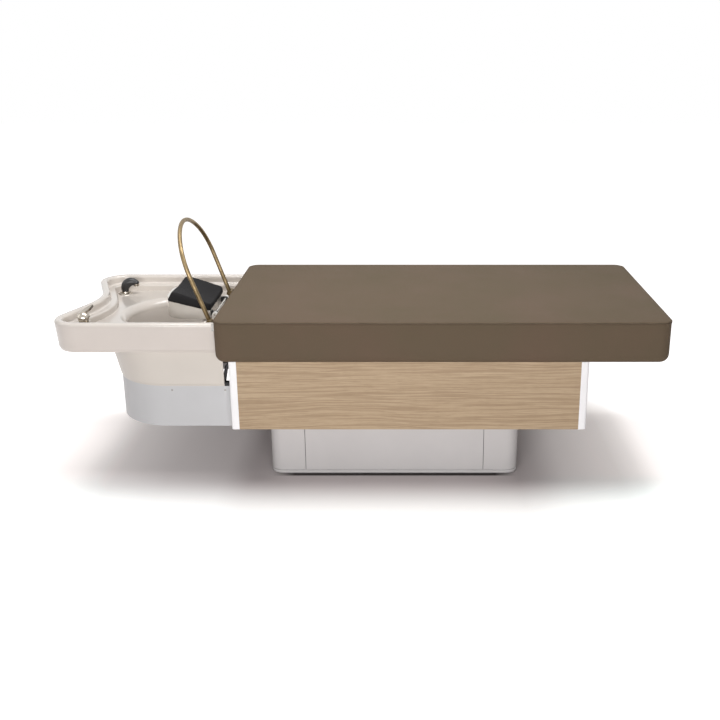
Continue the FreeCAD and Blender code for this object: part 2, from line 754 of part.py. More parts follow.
def tray_outline(inset, end_x, z, corner):
    """The basin's plan: straight sides, two round lobes at the head and a smooth bite between them."""
    half = HALF_BASIN - inset
    lobe_radius = LOBE_RADIUS - inset
    bite_radius = BITE_RADIUS + inset
    middle = (3 * math.pi / 2 + LOBE_ANGLE) / 2
    k = 1 - math.sqrt(0.5)

    def lobe(angle, side):
        return V(
            LOBE_CENTRE_X + lobe_radius * math.cos(angle),
            side * (LOBE_CENTRE_Y + lobe_radius * math.sin(angle)), z)

    def bite(angle):
        return V(BITE_CENTRE_X + bite_radius * math.cos(angle), bite_radius * math.sin(angle), z)

    edges = [line(V(end_x, corner - half, z), V(end_x, half - corner, z))]
    edges.append(arc(
        V(end_x, half - corner, z), V(end_x - k * corner, half - k * corner, z), V(end_x - corner, half, z)))
    edges.append(line(V(end_x - corner, half, z), lobe(math.pi / 2, 1)))
    edges.append(arc(lobe(math.pi / 2, 1), lobe(middle, 1), lobe(math.pi + LOBE_ANGLE, 1)))
    edges.append(line(lobe(math.pi + LOBE_ANGLE, 1), bite(LOBE_ANGLE)))
    edges.append(arc(bite(LOBE_ANGLE), bite(0), bite(-LOBE_ANGLE)))
    edges.append(line(bite(-LOBE_ANGLE), lobe(math.pi + LOBE_ANGLE, -1)))
    edges.append(arc(lobe(math.pi + LOBE_ANGLE, -1), lobe(middle, -1), lobe(math.pi / 2, -1)))
    edges.append(line(lobe(math.pi / 2, -1), V(end_x - corner, -half, z)))
    edges.append(arc(
        V(end_x - corner, -half, z), V(end_x - k * corner, k * corner - half, z), V(end_x, corner - half, z)))
    return Part.Wire(edges)


def bowl_outline(radius, flat, corner, z):
    """The bowl's plan: a circle cut off by a straight wall on the bed's side, with rounded corners."""
    reach = radius - corner
    corner_x = flat - corner
    corner_y = math.sqrt(reach * reach - corner_x * corner_x)
    start = math.atan2(corner_y, corner_x)
    middle = start / 2

    def rim(angle):
        return V(BOWL_X + radius * math.cos(angle), radius * math.sin(angle), z)

    def bend(angle, side):
        return V(
            BOWL_X + corner_x + corner * math.cos(angle), side * (corner_y + corner * math.sin(angle)), z)

    quarter = (start + math.pi) / 2
    return Part.Wire([
        line(bend(0, -1), bend(0, 1)),
        arc(bend(0, 1), bend(middle, 1), rim(start)),
        arc(rim(start), rim(quarter), rim(math.pi)),
        arc(rim(math.pi), rim(-quarter), rim(-start)),
        arc(rim(-start), bend(middle, -1), bend(0, -1)),
    ])


def bowl_body(grow):
    """The bowl's form below the lip; grow sets the outside apart from the inside."""
    sections = []
    for depth_share, inset_share in zip(BOWL_DEPTH_SHARES, BOWL_INSET_SHARES):
        radius = BOWL_RADIUS * (1 - inset_share) + grow
        flat = BOWL_CUT * (1 - inset_share) + grow
        corner = BOWL_CORNER * (1 - inset_share) + grow
        depth = BOWL_LIP + depth_share * (BOWL_DEPTH - BOWL_LIP + grow)
        sections.append(bowl_outline(radius, flat, corner, DECK_Z - depth))
    return Part.makeLoft(sections, True, False)


def bowl_lip(grow, top):
    """The round lip between the deck and the bowl, as a form to cut or to add."""
    sections = []
    for step in range(BOWL_LIP_STEPS + 1):
        angle = step * math.pi / 2 / BOWL_LIP_STEPS
        spread = BOWL_LIP * (1 - math.sin(angle)) + grow
        level = top - (top - DECK_Z + BOWL_LIP) * (1 - math.cos(angle))
        sections.append(bowl_outline(BOWL_RADIUS + spread, BOWL_CUT + spread, BOWL_CORNER + spread, level))
    return Part.makeLoft(sections, True, False)


def basin():
    """The whole moulding; at the mattress its rim runs out and a low sill closes the deck."""
    past_end = BASIN_END + POCKET_CORNER + RIM_WIDTH

    def slope(inset, z):
        return tray_outline(inset, past_end, z, TRAY_CORNER)

    tray = Part.makeLoft([
        slope(TRAY_DRAFT + TRAY_UNDER_ROUND, TRAY_BASE),
        slope(TRAY_DRAFT + TRAY_UNDER_ROUND / 3, TRAY_BASE + TRAY_UNDER_ROUND / 4),
        slope(TRAY_DRAFT, TRAY_BASE + TRAY_UNDER_ROUND),
        slope(0, RIM_Z - RIM_ROUND - RIM_BAND),
        slope(0, RIM_Z),
    ], True, True)
    tray = tray.makeFillet(RIM_ROUND, flat_edges(tray, RIM_Z))
    inner_end = BASIN_END - RIM_WIDTH
    tray = tray.cut(prism(
        tray_outline(RIM_WIDTH, past_end + LOBE_RADIUS, LEDGE_Z, POCKET_CORNER), RIM_Z - LEDGE_Z + OVERRUN))
    tray = tray.cut(prism(
        tray_outline(RIM_WIDTH + LEDGE_WIDTH, inner_end, DECK_Z, POCKET_CORNER), LEDGE_Z - DECK_Z + OVERRUN))
    inner_rim = []
    for edge in flat_edges(tray, RIM_Z):
        bounds = edge.BoundBox
        across = max(abs(bounds.YMin), abs(bounds.YMax)) < HALF_BASIN - RIM_WIDTH + JOIN
        if across and bounds.XMin > TIP_X + RIM_WIDTH - JOIN:
            inner_rim.append(edge)
    tray = tray.makeFillet(RIM_ROUND, inner_rim)
    ledge = []
    for edge in flat_edges(tray, LEDGE_Z):
        bounds = edge.BoundBox
        across = max(abs(bounds.YMin), abs(bounds.YMax)) < HALF_BASIN - RIM_WIDTH - LEDGE_WIDTH + JOIN
        if across and bounds.XMax < inner_end + JOIN:
            ledge.append(edge)
    tray = tray.makeFillet(LEDGE_ROUND, ledge)
    tray = tray.cut(box(
        BASIN_END, past_end + OVERRUN, -HALF_BASIN, HALF_BASIN, TRAY_BASE - OVERRUN, RIM_Z + OVERRUN))
    tray = tray.cut(prism(
        tray_outline(TRAY_DRAFT + TRAY_WALL, BASIN_END + LOBE_RADIUS, TRAY_BASE + TRAY_FLANGE, TRAY_CORNER),
        DECK_UNDER - TRAY_BASE - TRAY_FLANGE))
    under_inset = TRAY_DRAFT + TRAY_WALL + TRAY_FLANGE_WIDTH
    tray = tray.cut(prism(
        tray_outline(under_inset, BASIN_END + LOBE_RADIUS, TRAY_BASE - OVERRUN, TRAY_CORNER),
        TRAY_FLANGE + 2 * OVERRUN))
    tray = tray.fuse(bowl_lip(BOWL_WALL, DECK_Z - DECK_THICKNESS / 2))
    tray = tray.fuse(bowl_body(BOWL_WALL))
    tray = tray.cut(bowl_lip(0, DECK_Z + JOIN))
    tray = tray.cut(bowl_body(0))
    drain = V(BOWL_X, 0, BOWL_FLOOR - BOWL_WALL - OVERRUN)
    tray = tray.cut(rod(drain, TAIL_RADIUS + SLOT_CLEARANCE, BOWL_WALL + 2 * OVERRUN))
    for side in SIDES:
        neck = rod(
            V(TAP_X, side * TAP_Y, DECK_UNDER - OVERRUN), NECK_RADIUS + JOIN, DECK_THICKNESS + 2 * OVERRUN)
        tray = tray.cut(neck)
    return tray


def bowl_zone():
    """The room that holds the bowl with its lip, from below the bowl to above the rim."""
    spread = BOWL_LIP + BOWL_WALL
    return prism(
        bowl_outline(BOWL_RADIUS + spread, BOWL_CUT + spread, BOWL_CORNER + spread, TRAY_BASE - BOWL_DEPTH),
        BOWL_DEPTH + TRAY_HEIGHT)


def basin_tray(moulding):
    """The moulding beside the bowl as solids that meet face to face: rim, deck and a field round each tap."""
    deck_zone = prism(
        tray_outline(RIM_WIDTH + LEDGE_WIDTH, BASIN_END - RIM_WIDTH, DECK_UNDER, POCKET_CORNER),
        DECK_THICKNESS)
    rest = moulding.cut(bowl_zone())
    deck = rest.common(deck_zone)
    fields = []
    for side in SIDES:
        y = side * TAP_Y
        field = box(TAP_X - TAP_FIELD, TAP_X + TAP_FIELD, y - TAP_FIELD, y + TAP_FIELD, DECK_UNDER, DECK_Z)
        fields.append(deck.common(field))
        deck = deck.cut(field)
    return group([rest.cut(deck_zone), deck] + fields)


def bowl_quarters(moulding):
    """The bowl and its lip as four solids that meet face to face: front and rear, upper and lower."""
    bowl = moulding.common(bowl_zone())
    reach = BOWL_RADIUS + BOWL_LIP + 2 * BOWL_WALL
    split = DECK_Z - BOWL_SPLIT_DEPTH
    quarters = []
    for side in SIDES:
        y0, y1 = sorted((0, side * reach))
        for z0, z1 in ((split, RIM_Z), (DECK_Z - BOWL_DEPTH - 2 * BOWL_WALL, split)):
            quarters.append(bowl.common(box(BOWL_X - reach, BOWL_X + reach, y0, y1, z0, z1)))
    return group(quarters)


# Shell round the bowl: a flared, open-ended moulding that closes on the deck's underside
def shell_section(inset, z, flare_share):
    grow_x = SHELL_FLARE_X * flare_share
    grow_y = SHELL_FLARE_Y * flare_share
    reach_y = HALF_SHELL + grow_y - inset
    return round_rectangle(
        SHELL_HEAD - grow_x + inset, SHELL_END + SHELL_CORNER, -reach_y, reach_y, z,
        SHELL_CORNER + grow_y - inset, end_radius=SHELL_CORNER / 2)


def bowl_shell():
    def form(inset, low, high):
        return Part.makeLoft([
            shell_section(inset + SHELL_FOOT_ROUND * low, SHELL_BASE - OVERRUN * (1 - high), 0),
            shell_section(inset, SHELL_BASE + SHELL_FOOT_ROUND, SHELL_FOOT_ROUND / SHELL_DEPTH),
            shell_section(inset, DECK_UNDER + OVERRUN * (1 - high), 1),
        ], True, True)

    outer = form(0, 1 / 3, 1)
    inner = form(SHELL_WALL, 1 / 3, 0)
    half = HALF_SHELL + 2 * SHELL_FLARE_Y
    keep = box(SHELL_HEAD - SHELL_FLARE_X - OVERRUN, SHELL_END, -half, half, SHELL_BASE, DECK_UNDER)
    beside_mattress = box(
        HEAD_X - SHELL_MATTRESS_GAP, SHELL_END + OVERRUN, -half - OVERRUN, half + OVERRUN,
        MATTRESS_BASE - SHELL_MATTRESS_GAP, DECK_UNDER + OVERRUN)
    return outer.cut(inner).common(keep.cut(beside_mattress))


def lower_cover():
    def section(inset, z):
        reach_y = HALF_SHELL - COVER_STEP - inset
        return round_rectangle(
            SHELL_HEAD + COVER_STEP + inset, SHELL_END + SHELL_CORNER, -reach_y, reach_y, z,
            SHELL_CORNER - COVER_STEP - inset, end_radius=SHELL_CORNER / 2)

    height = SHELL_BASE - COVER_BASE
    wall = prism(section(0, COVER_BASE), height)
    core = prism(section(COVER_WALL, COVER_BASE - OVERRUN), height + 2 * OVERRUN)
    keep = box(SHELL_HEAD - OVERRUN, PANEL_HEAD, -HALF_SHELL, HALF_SHELL, COVER_BASE, SHELL_BASE)
    cover = wall.cut(core).common(keep)
    for place in screw_places():
        inward = V(0, -math.copysign(1, place.y), 0)
        cover = cover.cut(rod(place, COVER_SCREW_RADIUS / 2, COVER_SCREW_LENGTH, inward))
    return cover


def screw_places():
    y = HALF_SHELL - COVER_STEP
    z = SHELL_BASE - COVER_SCREW_DROP
    places = []
    for x in (PANEL_HEAD - COVER_SCREW_END - COVER_SCREW_SPAN, PANEL_HEAD - COVER_SCREW_END):
        for side in SIDES:
            places.append(V(x, side * y, z))
    return places


def cover_screws():
    screws = []
    for place in screw_places():
        outward = V(0, math.copysign(1, place.y), 0)
        head = rod(place, COVER_SCREW_RADIUS, COVER_SCREW_HEAD, outward)
        shank = rod(place, COVER_SCREW_RADIUS / 2, COVER_SCREW_LENGTH, -outward)
        screws.append(head.fuse(shank).removeSplitter())
    return group(screws)


def cover_brackets():
    """Angles that the cover's screws go into: two under the rails, two on the end panel."""
    y1 = HALF_SHELL - COVER_STEP - COVER_WALL
    y0 = HALF_RAILS - RAIL_WIDTH / 2
    z0 = SHELL_BASE - COVER_SCREW_DROP - COVER_RIB
    brackets = []
    for place in screw_places()[1::2]:
        leg_y = y1 - BRACKET_THICKNESS
        x0 = place.x - COVER_RIB
        x1 = place.x + COVER_RIB
        if x1 < SHELL_END - COVER_SCREW_SPAN / 2:
            arm = box(x0, x1, y0, y1, RAIL_BASE - BRACKET_THICKNESS, RAIL_BASE)
            leg = box(x0, x1, leg_y, y1, z0, RAIL_BASE)
        else:
            top = SHELL_BASE - COVER_STEP
            arm = box(PANEL_HEAD - BRACKET_THICKNESS, PANEL_HEAD, y1 - 2 * COVER_RIB, y1, z0, top)
            leg = box(x0, PANEL_HEAD, leg_y, y1, z0, top)
        outside = V(place.x, y1 + OVERRUN, place.z)
        shank = rod(outside, COVER_SCREW_RADIUS / 2, 2 * COVER_SCREW_LENGTH, V(0, -1, 0))
        bracket = arm.fuse(leg).removeSplitter().cut(shank)
        brackets.append(bracket)
        brackets.append(mirrored(bracket))
    return group(brackets)


def rubber_buffers():
    """Rubber blocks on the cover's top edge by the end panel, with a narrower end inside the shell."""
    outer = HALF_SHELL - COVER_STEP
    inner = outer - BUFFER_WIDTH
    middle = outer - BUFFER_WIDTH / 2
    lap = SHELL_END - BUFFER_LAP
    top = SHELL_BASE + BUFFER_HEIGHT
    block = box(SHELL_END, lap + BUFFER_LENGTH, inner, outer, SHELL_BASE, top)
    block = block.fuse(box(lap, SHELL_END, inner, middle, SHELL_BASE, top)).removeSplitter()
    return group([block, mirrored(block)])


def support_posts():
    """Four short posts that carry the basin's deck on the rails."""
    half = SUPPORT_POST / 2
    posts = []
    for reach in (SUPPORT_HEAD_X, SUPPORT_FOOT_X):
        for side in SIDES:
            x = HEAD_X - reach
            y = side * HALF_RAILS
            posts.append(box(x - half, x + half, y - half, y + half, BOARD_BASE, DECK_UNDER))
    return group(posts)


def basin_clips(tray):
    """Small metal clips over the basin's end, next to the mattress."""
    clips = []
    for side in SIDES:
        z1 = RIM_Z - CLIP_DROP
        y0, y1 = sorted((side * (HALF_BASIN - CLIP_DEPTH), side * (HALF_BASIN + CLIP_THICKNESS)))
        x1 = BASIN_END + CLIP_WRAP
        clip = box(x1 - CLIP_WIDTH, x1, y0, y1, z1 - CLIP_HEIGHT, z1)
        clips.append(clip.cut(tray))
    return group(clips)


# Waste: flange in the bowl, lift-out strainer, bottle trap and outlet pipe
def drain_flange():
    top = BOWL_FLOOR + FLANGE_THICKNESS
    low = BOWL_FLOOR - BOWL_WALL - TAIL_LENGTH
    profile = (
        (TAIL_RADIUS - TAIL_WALL, low), (TAIL_RADIUS, low), (TAIL_RADIUS, BOWL_FLOOR),
        (FLANGE_RADIUS, BOWL_FLOOR), (FLANGE_RADIUS - FLANGE_THICKNESS, top),
        (TAIL_RADIUS + 2 * TAIL_WALL, top), (TAIL_RADIUS - TAIL_WALL, BOWL_FLOOR - FLANGE_THICKNESS))
    return revolve(profile, V(BOWL_X, 0, 0))


def hair_strainer():
    seat = BOWL_FLOOR + FLANGE_THICKNESS + JOIN
    profile = (
        (0, seat), (FLANGE_RADIUS - 2 * FLANGE_THICKNESS, seat),
        (STRAINER_RADIUS, seat + STRAINER_WALL * 2), (STRAINER_KNOB_RADIUS / 2, seat + STRAINER_WALL * 2),
        (STRAINER_KNOB_RADIUS, seat + STRAINER_KNOB_HEIGHT), (0, seat + STRAINER_KNOB_HEIGHT))
    plate = revolve(profile, V(BOWL_X, 0, 0))
    for hole in range(STRAINER_HOLE_COUNT):
        angle = 2 * math.pi * hole / STRAINER_HOLE_COUNT
        place = V(
            BOWL_X + STRAINER_HOLE_RING * math.cos(angle), STRAINER_HOLE_RING * math.sin(angle),
            seat - OVERRUN)
        plate = plate.cut(rod(place, STRAINER_HOLE_RADIUS, STRAINER_HEIGHT + OVERRUN))
    return plate


TRAP_TOP = BOWL_FLOOR - BOWL_WALL - TAIL_LENGTH


def bottle_trap():
    low = TRAP_TOP - TRAP_HEIGHT
    inner = TAIL_RADIUS + JOIN
    profile = (
        (0, low), (TRAP_RADIUS * 3 / 4, low), (TRAP_RADIUS, low + TRAP_RADIUS / 4),
        (TRAP_RADIUS, TRAP_TOP), (TRAP_NUT_RADIUS, TRAP_TOP), (TRAP_NUT_RADIUS, TRAP_TOP + TRAP_NUT_HEIGHT),
        (inner, TRAP_TOP + TRAP_NUT_HEIGHT), (inner, TRAP_TOP), (0, TRAP_TOP))
    return revolve(profile, V(BOWL_X, 0, 0))


def waste_pipe():
    z = TRAP_TOP - 2 * WASTE_RADIUS
    start = V(BOWL_X - TRAP_RADIUS, 0, z)
    bend_x = start.x - WASTE_RUN + WASTE_BEND
    k = math.sqrt(0.5)
    centre = V(bend_x, 0, z - WASTE_BEND)
    corner = V(centre.x - WASTE_BEND * k, 0, centre.z + WASTE_BEND * k)
    low = V(centre.x - WASTE_BEND, 0, centre.z)
    path = Part.Wire([
        line(start, V(bend_x, 0, z)),
        arc(V(bend_x, 0, z), corner, low),
        line(low, low - V(0, 0, WASTE_DROP_LENGTH)),
    ])
    return tube_along(path, WASTE_RADIUS).cut(tube_along(path, WASTE_RADIUS - WASTE_WALL))


# Water supply: a stop valve on the rail, the hose to the basin and a manifold under the deck
def supply_valve():
    y1 = -HALF_RAILS - RAIL_WIDTH / 2
    x0 = CASING_HEAD + BRACKET_LENGTH
    z = MATTRESS_TOP - HOSE_DROP
    body = box(
        x0, x0 + VALVE_LENGTH, y1 - VALVE_WIDTH, y1, z - VALVE_HEIGHT / 2, z + VALVE_HEIGHT / 2)
    spout = rod(V(x0, HOSE_Y, z), HOSE_RADIUS, HOSE_SPIGOT, V(-1, 0, 0))
    return body.makeFillet(VALVE_ROUND, upright_edges(body)).fuse(spout)


def hose_path():
    z = MATTRESS_TOP - HOSE_DROP
    start_x = CASING_HEAD + BRACKET_LENGTH - HOSE_SPIGOT
    gap_x = PANEL_HEAD - HOSE_BEND / 2
    low_x = SHELL_END - 2 * HOSE_RADIUS
    return bent_path([
        V(start_x, HOSE_Y, z),
        V(gap_x, HOSE_Y, z),
        V(low_x, HOSE_Y, MATTRESS_TOP - HOSE_LOW_DROP),
        V(MANIFOLD_X, MANIFOLD_Y, MATTRESS_TOP - HOSE_LOW_DROP - HOSE_BEND * 3 / 4),
        V(MANIFOLD_X, MANIFOLD_Y, DECK_UNDER - MANIFOLD_HEIGHT),
    ], HOSE_BEND)


def hose_passage():
    """The hole for the hose in the end panel."""
    z = MATTRESS_TOP - HOSE_DROP
    return rod(
        V(CASING_HEAD + OVERRUN, HOSE_Y, z), HOSE_RADIUS + HOSE_HOLE_CLEARANCE,
        END_PANEL_THICKNESS + 2 * OVERRUN, V(-1, 0, 0))


def rail_passages():
    holes = []
    half = RAIL_WIDTH / 2 + SLOT_CLEARANCE
    for side in SIDES:
        y = side * HALF_RAILS
        holes.append(box(
            PANEL_HEAD - OVERRUN, CASING_HEAD + OVERRUN, y - half, y + half,
            RAIL_BASE - SLOT_CLEARANCE, BOARD_BASE + SLOT_CLEARANCE))
    return holes


def board_notch():
    """The notch in the foot panel that the mattress board lies in."""
    half = HALF_BOARD + SLOT_CLEARANCE
    return box(CASING_FOOT - OVERRUN, PANEL_FOOT + OVERRUN, -half, half, BOARD_BASE, CASING_TOP + OVERRUN)


def water_manifold():
    block = box(
        MANIFOLD_X - MANIFOLD_LENGTH / 2, MANIFOLD_X + MANIFOLD_LENGTH / 2,
        MANIFOLD_Y - MANIFOLD_WIDTH / 2, MANIFOLD_Y + MANIFOLD_WIDTH / 2,
        DECK_UNDER - MANIFOLD_HEIGHT, DECK_UNDER)
    return block.makeFillet(VALVE_ROUND, upright_edges(block))


# Water ring: a bent tube whose two feet turn on trunnions
def ring_path():
    inward = RING_HALF_WIDTH - RING_SIDE_RADIUS
    square = inward ** 2 + RING_RISE ** 2 - RING_SIDE_RADIUS ** 2
    top_radius = square / (2 * (RING_RISE - RING_SIDE_RADIUS))
    top_z = RING_LEG + RING_RISE - top_radius
    foot_y = RING_FOOT_HALF_WIDTH - inward
    foot_span = math.hypot(foot_y, RING_LEG)
    low_angle = math.atan2(-RING_LEG, foot_y) + math.acos(RING_SIDE_RADIUS / foot_span)
    high_angle = math.atan2(RING_LEG - top_z, inward)

    def side_point(angle, side):
        return V(
            0, side * (inward + RING_SIDE_RADIUS * math.cos(angle)),
            RING_LEG + RING_SIDE_RADIUS * math.sin(angle))

    middle = (low_angle + high_angle) / 2
    edges = [line(V(0, RING_FOOT_HALF_WIDTH, 0), side_point(low_angle, 1))]
    edges.append(arc(side_point(low_angle, 1), side_point(middle, 1), side_point(high_angle, 1)))
    edges.append(arc(side_point(high_angle, 1), V(0, 0, RING_LEG + RING_RISE), side_point(high_angle, -1)))
    edges.append(arc(side_point(high_angle, -1), side_point(middle, -1), side_point(low_angle, -1)))
    edges.append(line(side_point(low_angle, -1), V(0, -RING_FOOT_HALF_WIDTH, 0)))
    return Part.Wire(edges)


def at_ring_pivot(shape):
    shape.rotate(V(0, 0, 0), V(0, 1, 0), -RING_LEAN)
    shape.translate(V(PIVOT_X, 0, PIVOT_Z))
    return shape


def water_ring():
    path = ring_path()
    ring = tube_along(path, RING_TUBE_RADIUS).cut(tube_along(path, RING_TUBE_RADIUS - RING_TUBE_WALL))
    start = KNUCKLE_LENGTH / 2
    for side in SIDES:
        centre = V(0, side * RING_FOOT_HALF_WIDTH - start, 0)
        ring = ring.fuse(rod(centre, KNUCKLE_RADIUS, KNUCKLE_LENGTH, V(0, 1, 0)))
        ring = ring.cut(rod(
            centre - V(0, OVERRUN, 0), PIVOT_PIN_RADIUS + RUNNING_CLEARANCE,
            KNUCKLE_LENGTH + 2 * OVERRUN, V(0, 1, 0)))
    return at_ring_pivot(ring)


def ring_pivots():
    """A block and trunnion outside each foot of the ring, standing on the deck."""
    half = PIVOT_BLOCK_LENGTH / 2
    y0 = RING_FOOT_HALF_WIDTH + KNUCKLE_LENGTH / 2 + JOIN
    y1 = y0 + PIVOT_BLOCK_WIDTH
    block = box(PIVOT_X - half, PIVOT_X + half, y0, y1, DECK_Z, PIVOT_Z)
    block = block.fuse(rod(V(PIVOT_X, y0, PIVOT_Z), half, PIVOT_BLOCK_WIDTH, V(0, 1, 0)))
    pin = rod(V(PIVOT_X, y0, PIVOT_Z), PIVOT_PIN_RADIUS, KNUCKLE_LENGTH + 2 * JOIN, V(0, -1, 0))
    pivot = block.fuse(pin).removeSplitter()
    return group([pivot, mirrored(pivot)])


def ring_pivot_caps():
    y = RING_FOOT_HALF_WIDTH - KNUCKLE_LENGTH / 2 - JOIN
    cap = rod(V(PIVOT_X, y, PIVOT_Z), PIVOT_CAP_RADIUS, PIVOT_CAP_THICKNESS, V(0, -1, 0))
    return group([cap, mirrored(cap)])


# Headrest: a saddle pad on a moulded carrier that tilts on a hinge rod at the bed's side
def at_pad(shape):
    shape.rotate(V(0, 0, 0), V(0, 1, 0), PAD_TILT)
    shape.translate(V(HEAD_X - PAD_LOW_REACH, 0, MATTRESS_TOP - PAD_LOW_DROP))
    return shape


def headrest_pad():
    half = PAD_WIDTH / 2

    def section(share, z):
        x_inset = PAD_TAPER_X * share
        y_inset = PAD_TAPER_Y * share
        return round_rectangle(
            x_inset - PAD_LENGTH, -x_inset, y_inset - half, half - y_inset, z, PAD_CORNER)

    pad = Part.makeLoft([
        section(PAD_EDGE / PAD_THICKNESS, 0),
        section(0, PAD_EDGE),
        section(1 / 2, PAD_THICKNESS - 2 * PAD_EDGE),
        section(1, PAD_THICKNESS - PAD_EDGE / 2),
        section(3 / 2, PAD_THICKNESS),
    ], True, True)
    width = half - PAD_TAPER_Y
    saddle_radius = (width ** 2 + PAD_SADDLE ** 2) / (2 * PAD_SADDLE)
    saddle = rod(
        V(-OVERRUN, 0, PAD_THICKNESS - PAD_SADDLE + saddle_radius), saddle_radius,
        PAD_LENGTH + 2 * OVERRUN, V(1, 0, 0))
    saddle.rotate(V(0, 0, PAD_THICKNESS), V(0, 1, 0), PAD_WEDGE)
    saddle.translate(V(-PAD_LENGTH, 0, 0))
    return at_pad(pad.cut(saddle))


def headrest_carrier():
    """An open-bottomed moulding whose top slopes with the pad."""
    x0 = HEAD_X - CARRIER_HEAD_REACH
    x1 = HEAD_X - CARRIER_END_REACH
    half = CARRIER_WIDTH / 2
    floor = DECK_Z + CARRIER_FLOOR_GAP

    def form(inset, top_gap, low):
        column = prism(round_rectangle(
            x0 + inset, x1 - inset, inset - half, half - inset, low,
            CARRIER_CORNER - inset, end_radius=CARRIER_END_CORNER - inset), MATTRESS_TOP - low)
        reach = CARRIER_HEAD_REACH + PAD_LENGTH
        above = Part.makeBox(2 * reach, 2 * reach, reach, V(-reach, -reach, -top_gap))
        return column.cut(at_pad(above))

    outer = form(0, JOIN, floor)
    inner = form(CARRIER_WALL, JOIN + CARRIER_WALL, floor - OVERRUN)
    return outer.cut(inner)


def headrest_arms():
    """Two black arms from the carrier's end to the hinge rod."""
    y1 = HINGE_BLOCK_Y - HINGE_BLOCK_WIDTH / 2 - HINGE_ARM_GAP
    y0 = y1 - HINGE_ARM_THICKNESS
    x0 = HEAD_X - CARRIER_END_REACH
    arm = box(x0, HINGE_X, y0, y1, HINGE_Z - HINGE_ARM_EYE, HINGE_Z + HINGE_ARM_EYE)
    arm = arm.fuse(rod(V(HINGE_X, y0, HINGE_Z), HINGE_ARM_EYE, HINGE_ARM_THICKNESS, V(0, 1, 0)))
    foot_depth = HINGE_ARM_EYE * 2
    foot = box(
        x0, x0 + HINGE_ARM_THICKNESS, y1 - foot_depth, y1,
        HINGE_Z - HINGE_ARM_EYE, HINGE_Z + HINGE_ARM_EYE)
    arm = arm.fuse(foot).removeSplitter()
    arm = arm.cut(rod(V(HINGE_X, 0, HINGE_Z), HINGE_PIN_RADIUS, HALF_BASIN, V(0, 1, 0)))
    return group([arm, mirrored(arm)])


def hinge_rod():
    half = HINGE_BLOCK_Y + HINGE_BLOCK_WIDTH / 2 + HINGE_ARM_GAP
    return rod(V(HINGE_X, -half, HINGE_Z), HINGE_PIN_RADIUS, 2 * half, V(0, 1, 0))


def hinge_blocks():
    half = HINGE_BLOCK_LENGTH / 2
    y0 = HINGE_BLOCK_Y - HINGE_BLOCK_WIDTH / 2
    y1 = y0 + HINGE_BLOCK_WIDTH
    block = box(HINGE_X - half, HINGE_X + half, y0, y1, DECK_Z, HINGE_Z)
    block = block.fuse(rod(V(HINGE_X, y0, HINGE_Z), half, HINGE_BLOCK_WIDTH, V(0, 1, 0)))
    bore = rod(
        V(HINGE_X, y0 - OVERRUN, HINGE_Z), HINGE_PIN_RADIUS + RUNNING_CLEARANCE,
        HINGE_BLOCK_WIDTH + 2 * OVERRUN, V(0, 1, 0))
    block = block.removeSplitter().cut(bore)
    return group([block, mirrored(block)])


# Mixer tap: body, ball on a swivel pin, and a lever whose round cap tilts on the ball
MIXER_PLACE = V(TAP_X, -TAP_Y, DECK_Z)
BALL_PLACE = MIXER_PLACE + V(0, 0, MIXER_HEIGHT + BALL_RISE)


def mixer_body():
    neck_low = -DECK_THICKNESS - NECK_LENGTH
    profile = (
        (0, neck_low), (NECK_RADIUS, neck_low), (NECK_RADIUS, 0), (MIXER_FOOT_RADIUS, 0),
        (MIXER_FOOT_RADIUS, MIXER_FOOT_HEIGHT), (MIXER_RADIUS, MIXER_FOOT_HEIGHT),
        (MIXER_RADIUS, MIXER_HEIGHT), (MIXER_PIN_RADIUS + RUNNING_CLEARANCE, MIXER_HEIGHT),
        (MIXER_PIN_RADIUS + RUNNING_CLEARANCE, MIXER_HEIGHT - MIXER_PIN_LENGTH - JOIN),
        (0, MIXER_HEIGHT - MIXER_PIN_LENGTH - JOIN))
    return revolve(profile, MIXER_PLACE)


def along_lever_pin(radius, reach):
    """A rod on the lever's hinge line, with the ball's centre at the origin."""
    return rod(V(0, -reach, 0), radius, 2 * reach, V(0, 1, 0))


def mixer_ball():
    """A ball with a stem below and the lever's hinge pin through it."""
    lever_pin = along_lever_pin(LEVER_PIN_RADIUS, MIXER_RADIUS - JOIN)
    lever_pin.rotate(V(0, 0, 0), V(0, 0, 1), LEVER_TURN)
    lever_pin.translate(BALL_PLACE)
    ball = Part.makeSphere(BALL_RADIUS, BALL_PLACE)
    collar = rod(MIXER_PLACE + V(0, 0, MIXER_HEIGHT + JOIN), MIXER_RADIUS * 2 / 3, BALL_RISE - JOIN)
    pin_base = MIXER_PLACE + V(0, 0, MIXER_HEIGHT - MIXER_PIN_LENGTH)
    pin = rod(pin_base, MIXER_PIN_RADIUS, MIXER_PIN_LENGTH + BALL_RISE)
    low = box(
        TAP_X - MIXER_RADIUS, TAP_X + MIXER_RADIUS, -TAP_Y - MIXER_RADIUS, MIXER_RADIUS - TAP_Y,
        DECK_Z, DECK_Z + MIXER_HEIGHT + JOIN)
    return ball.cut(low).fuse(collar).fuse(pin).fuse(lever_pin).removeSplitter()


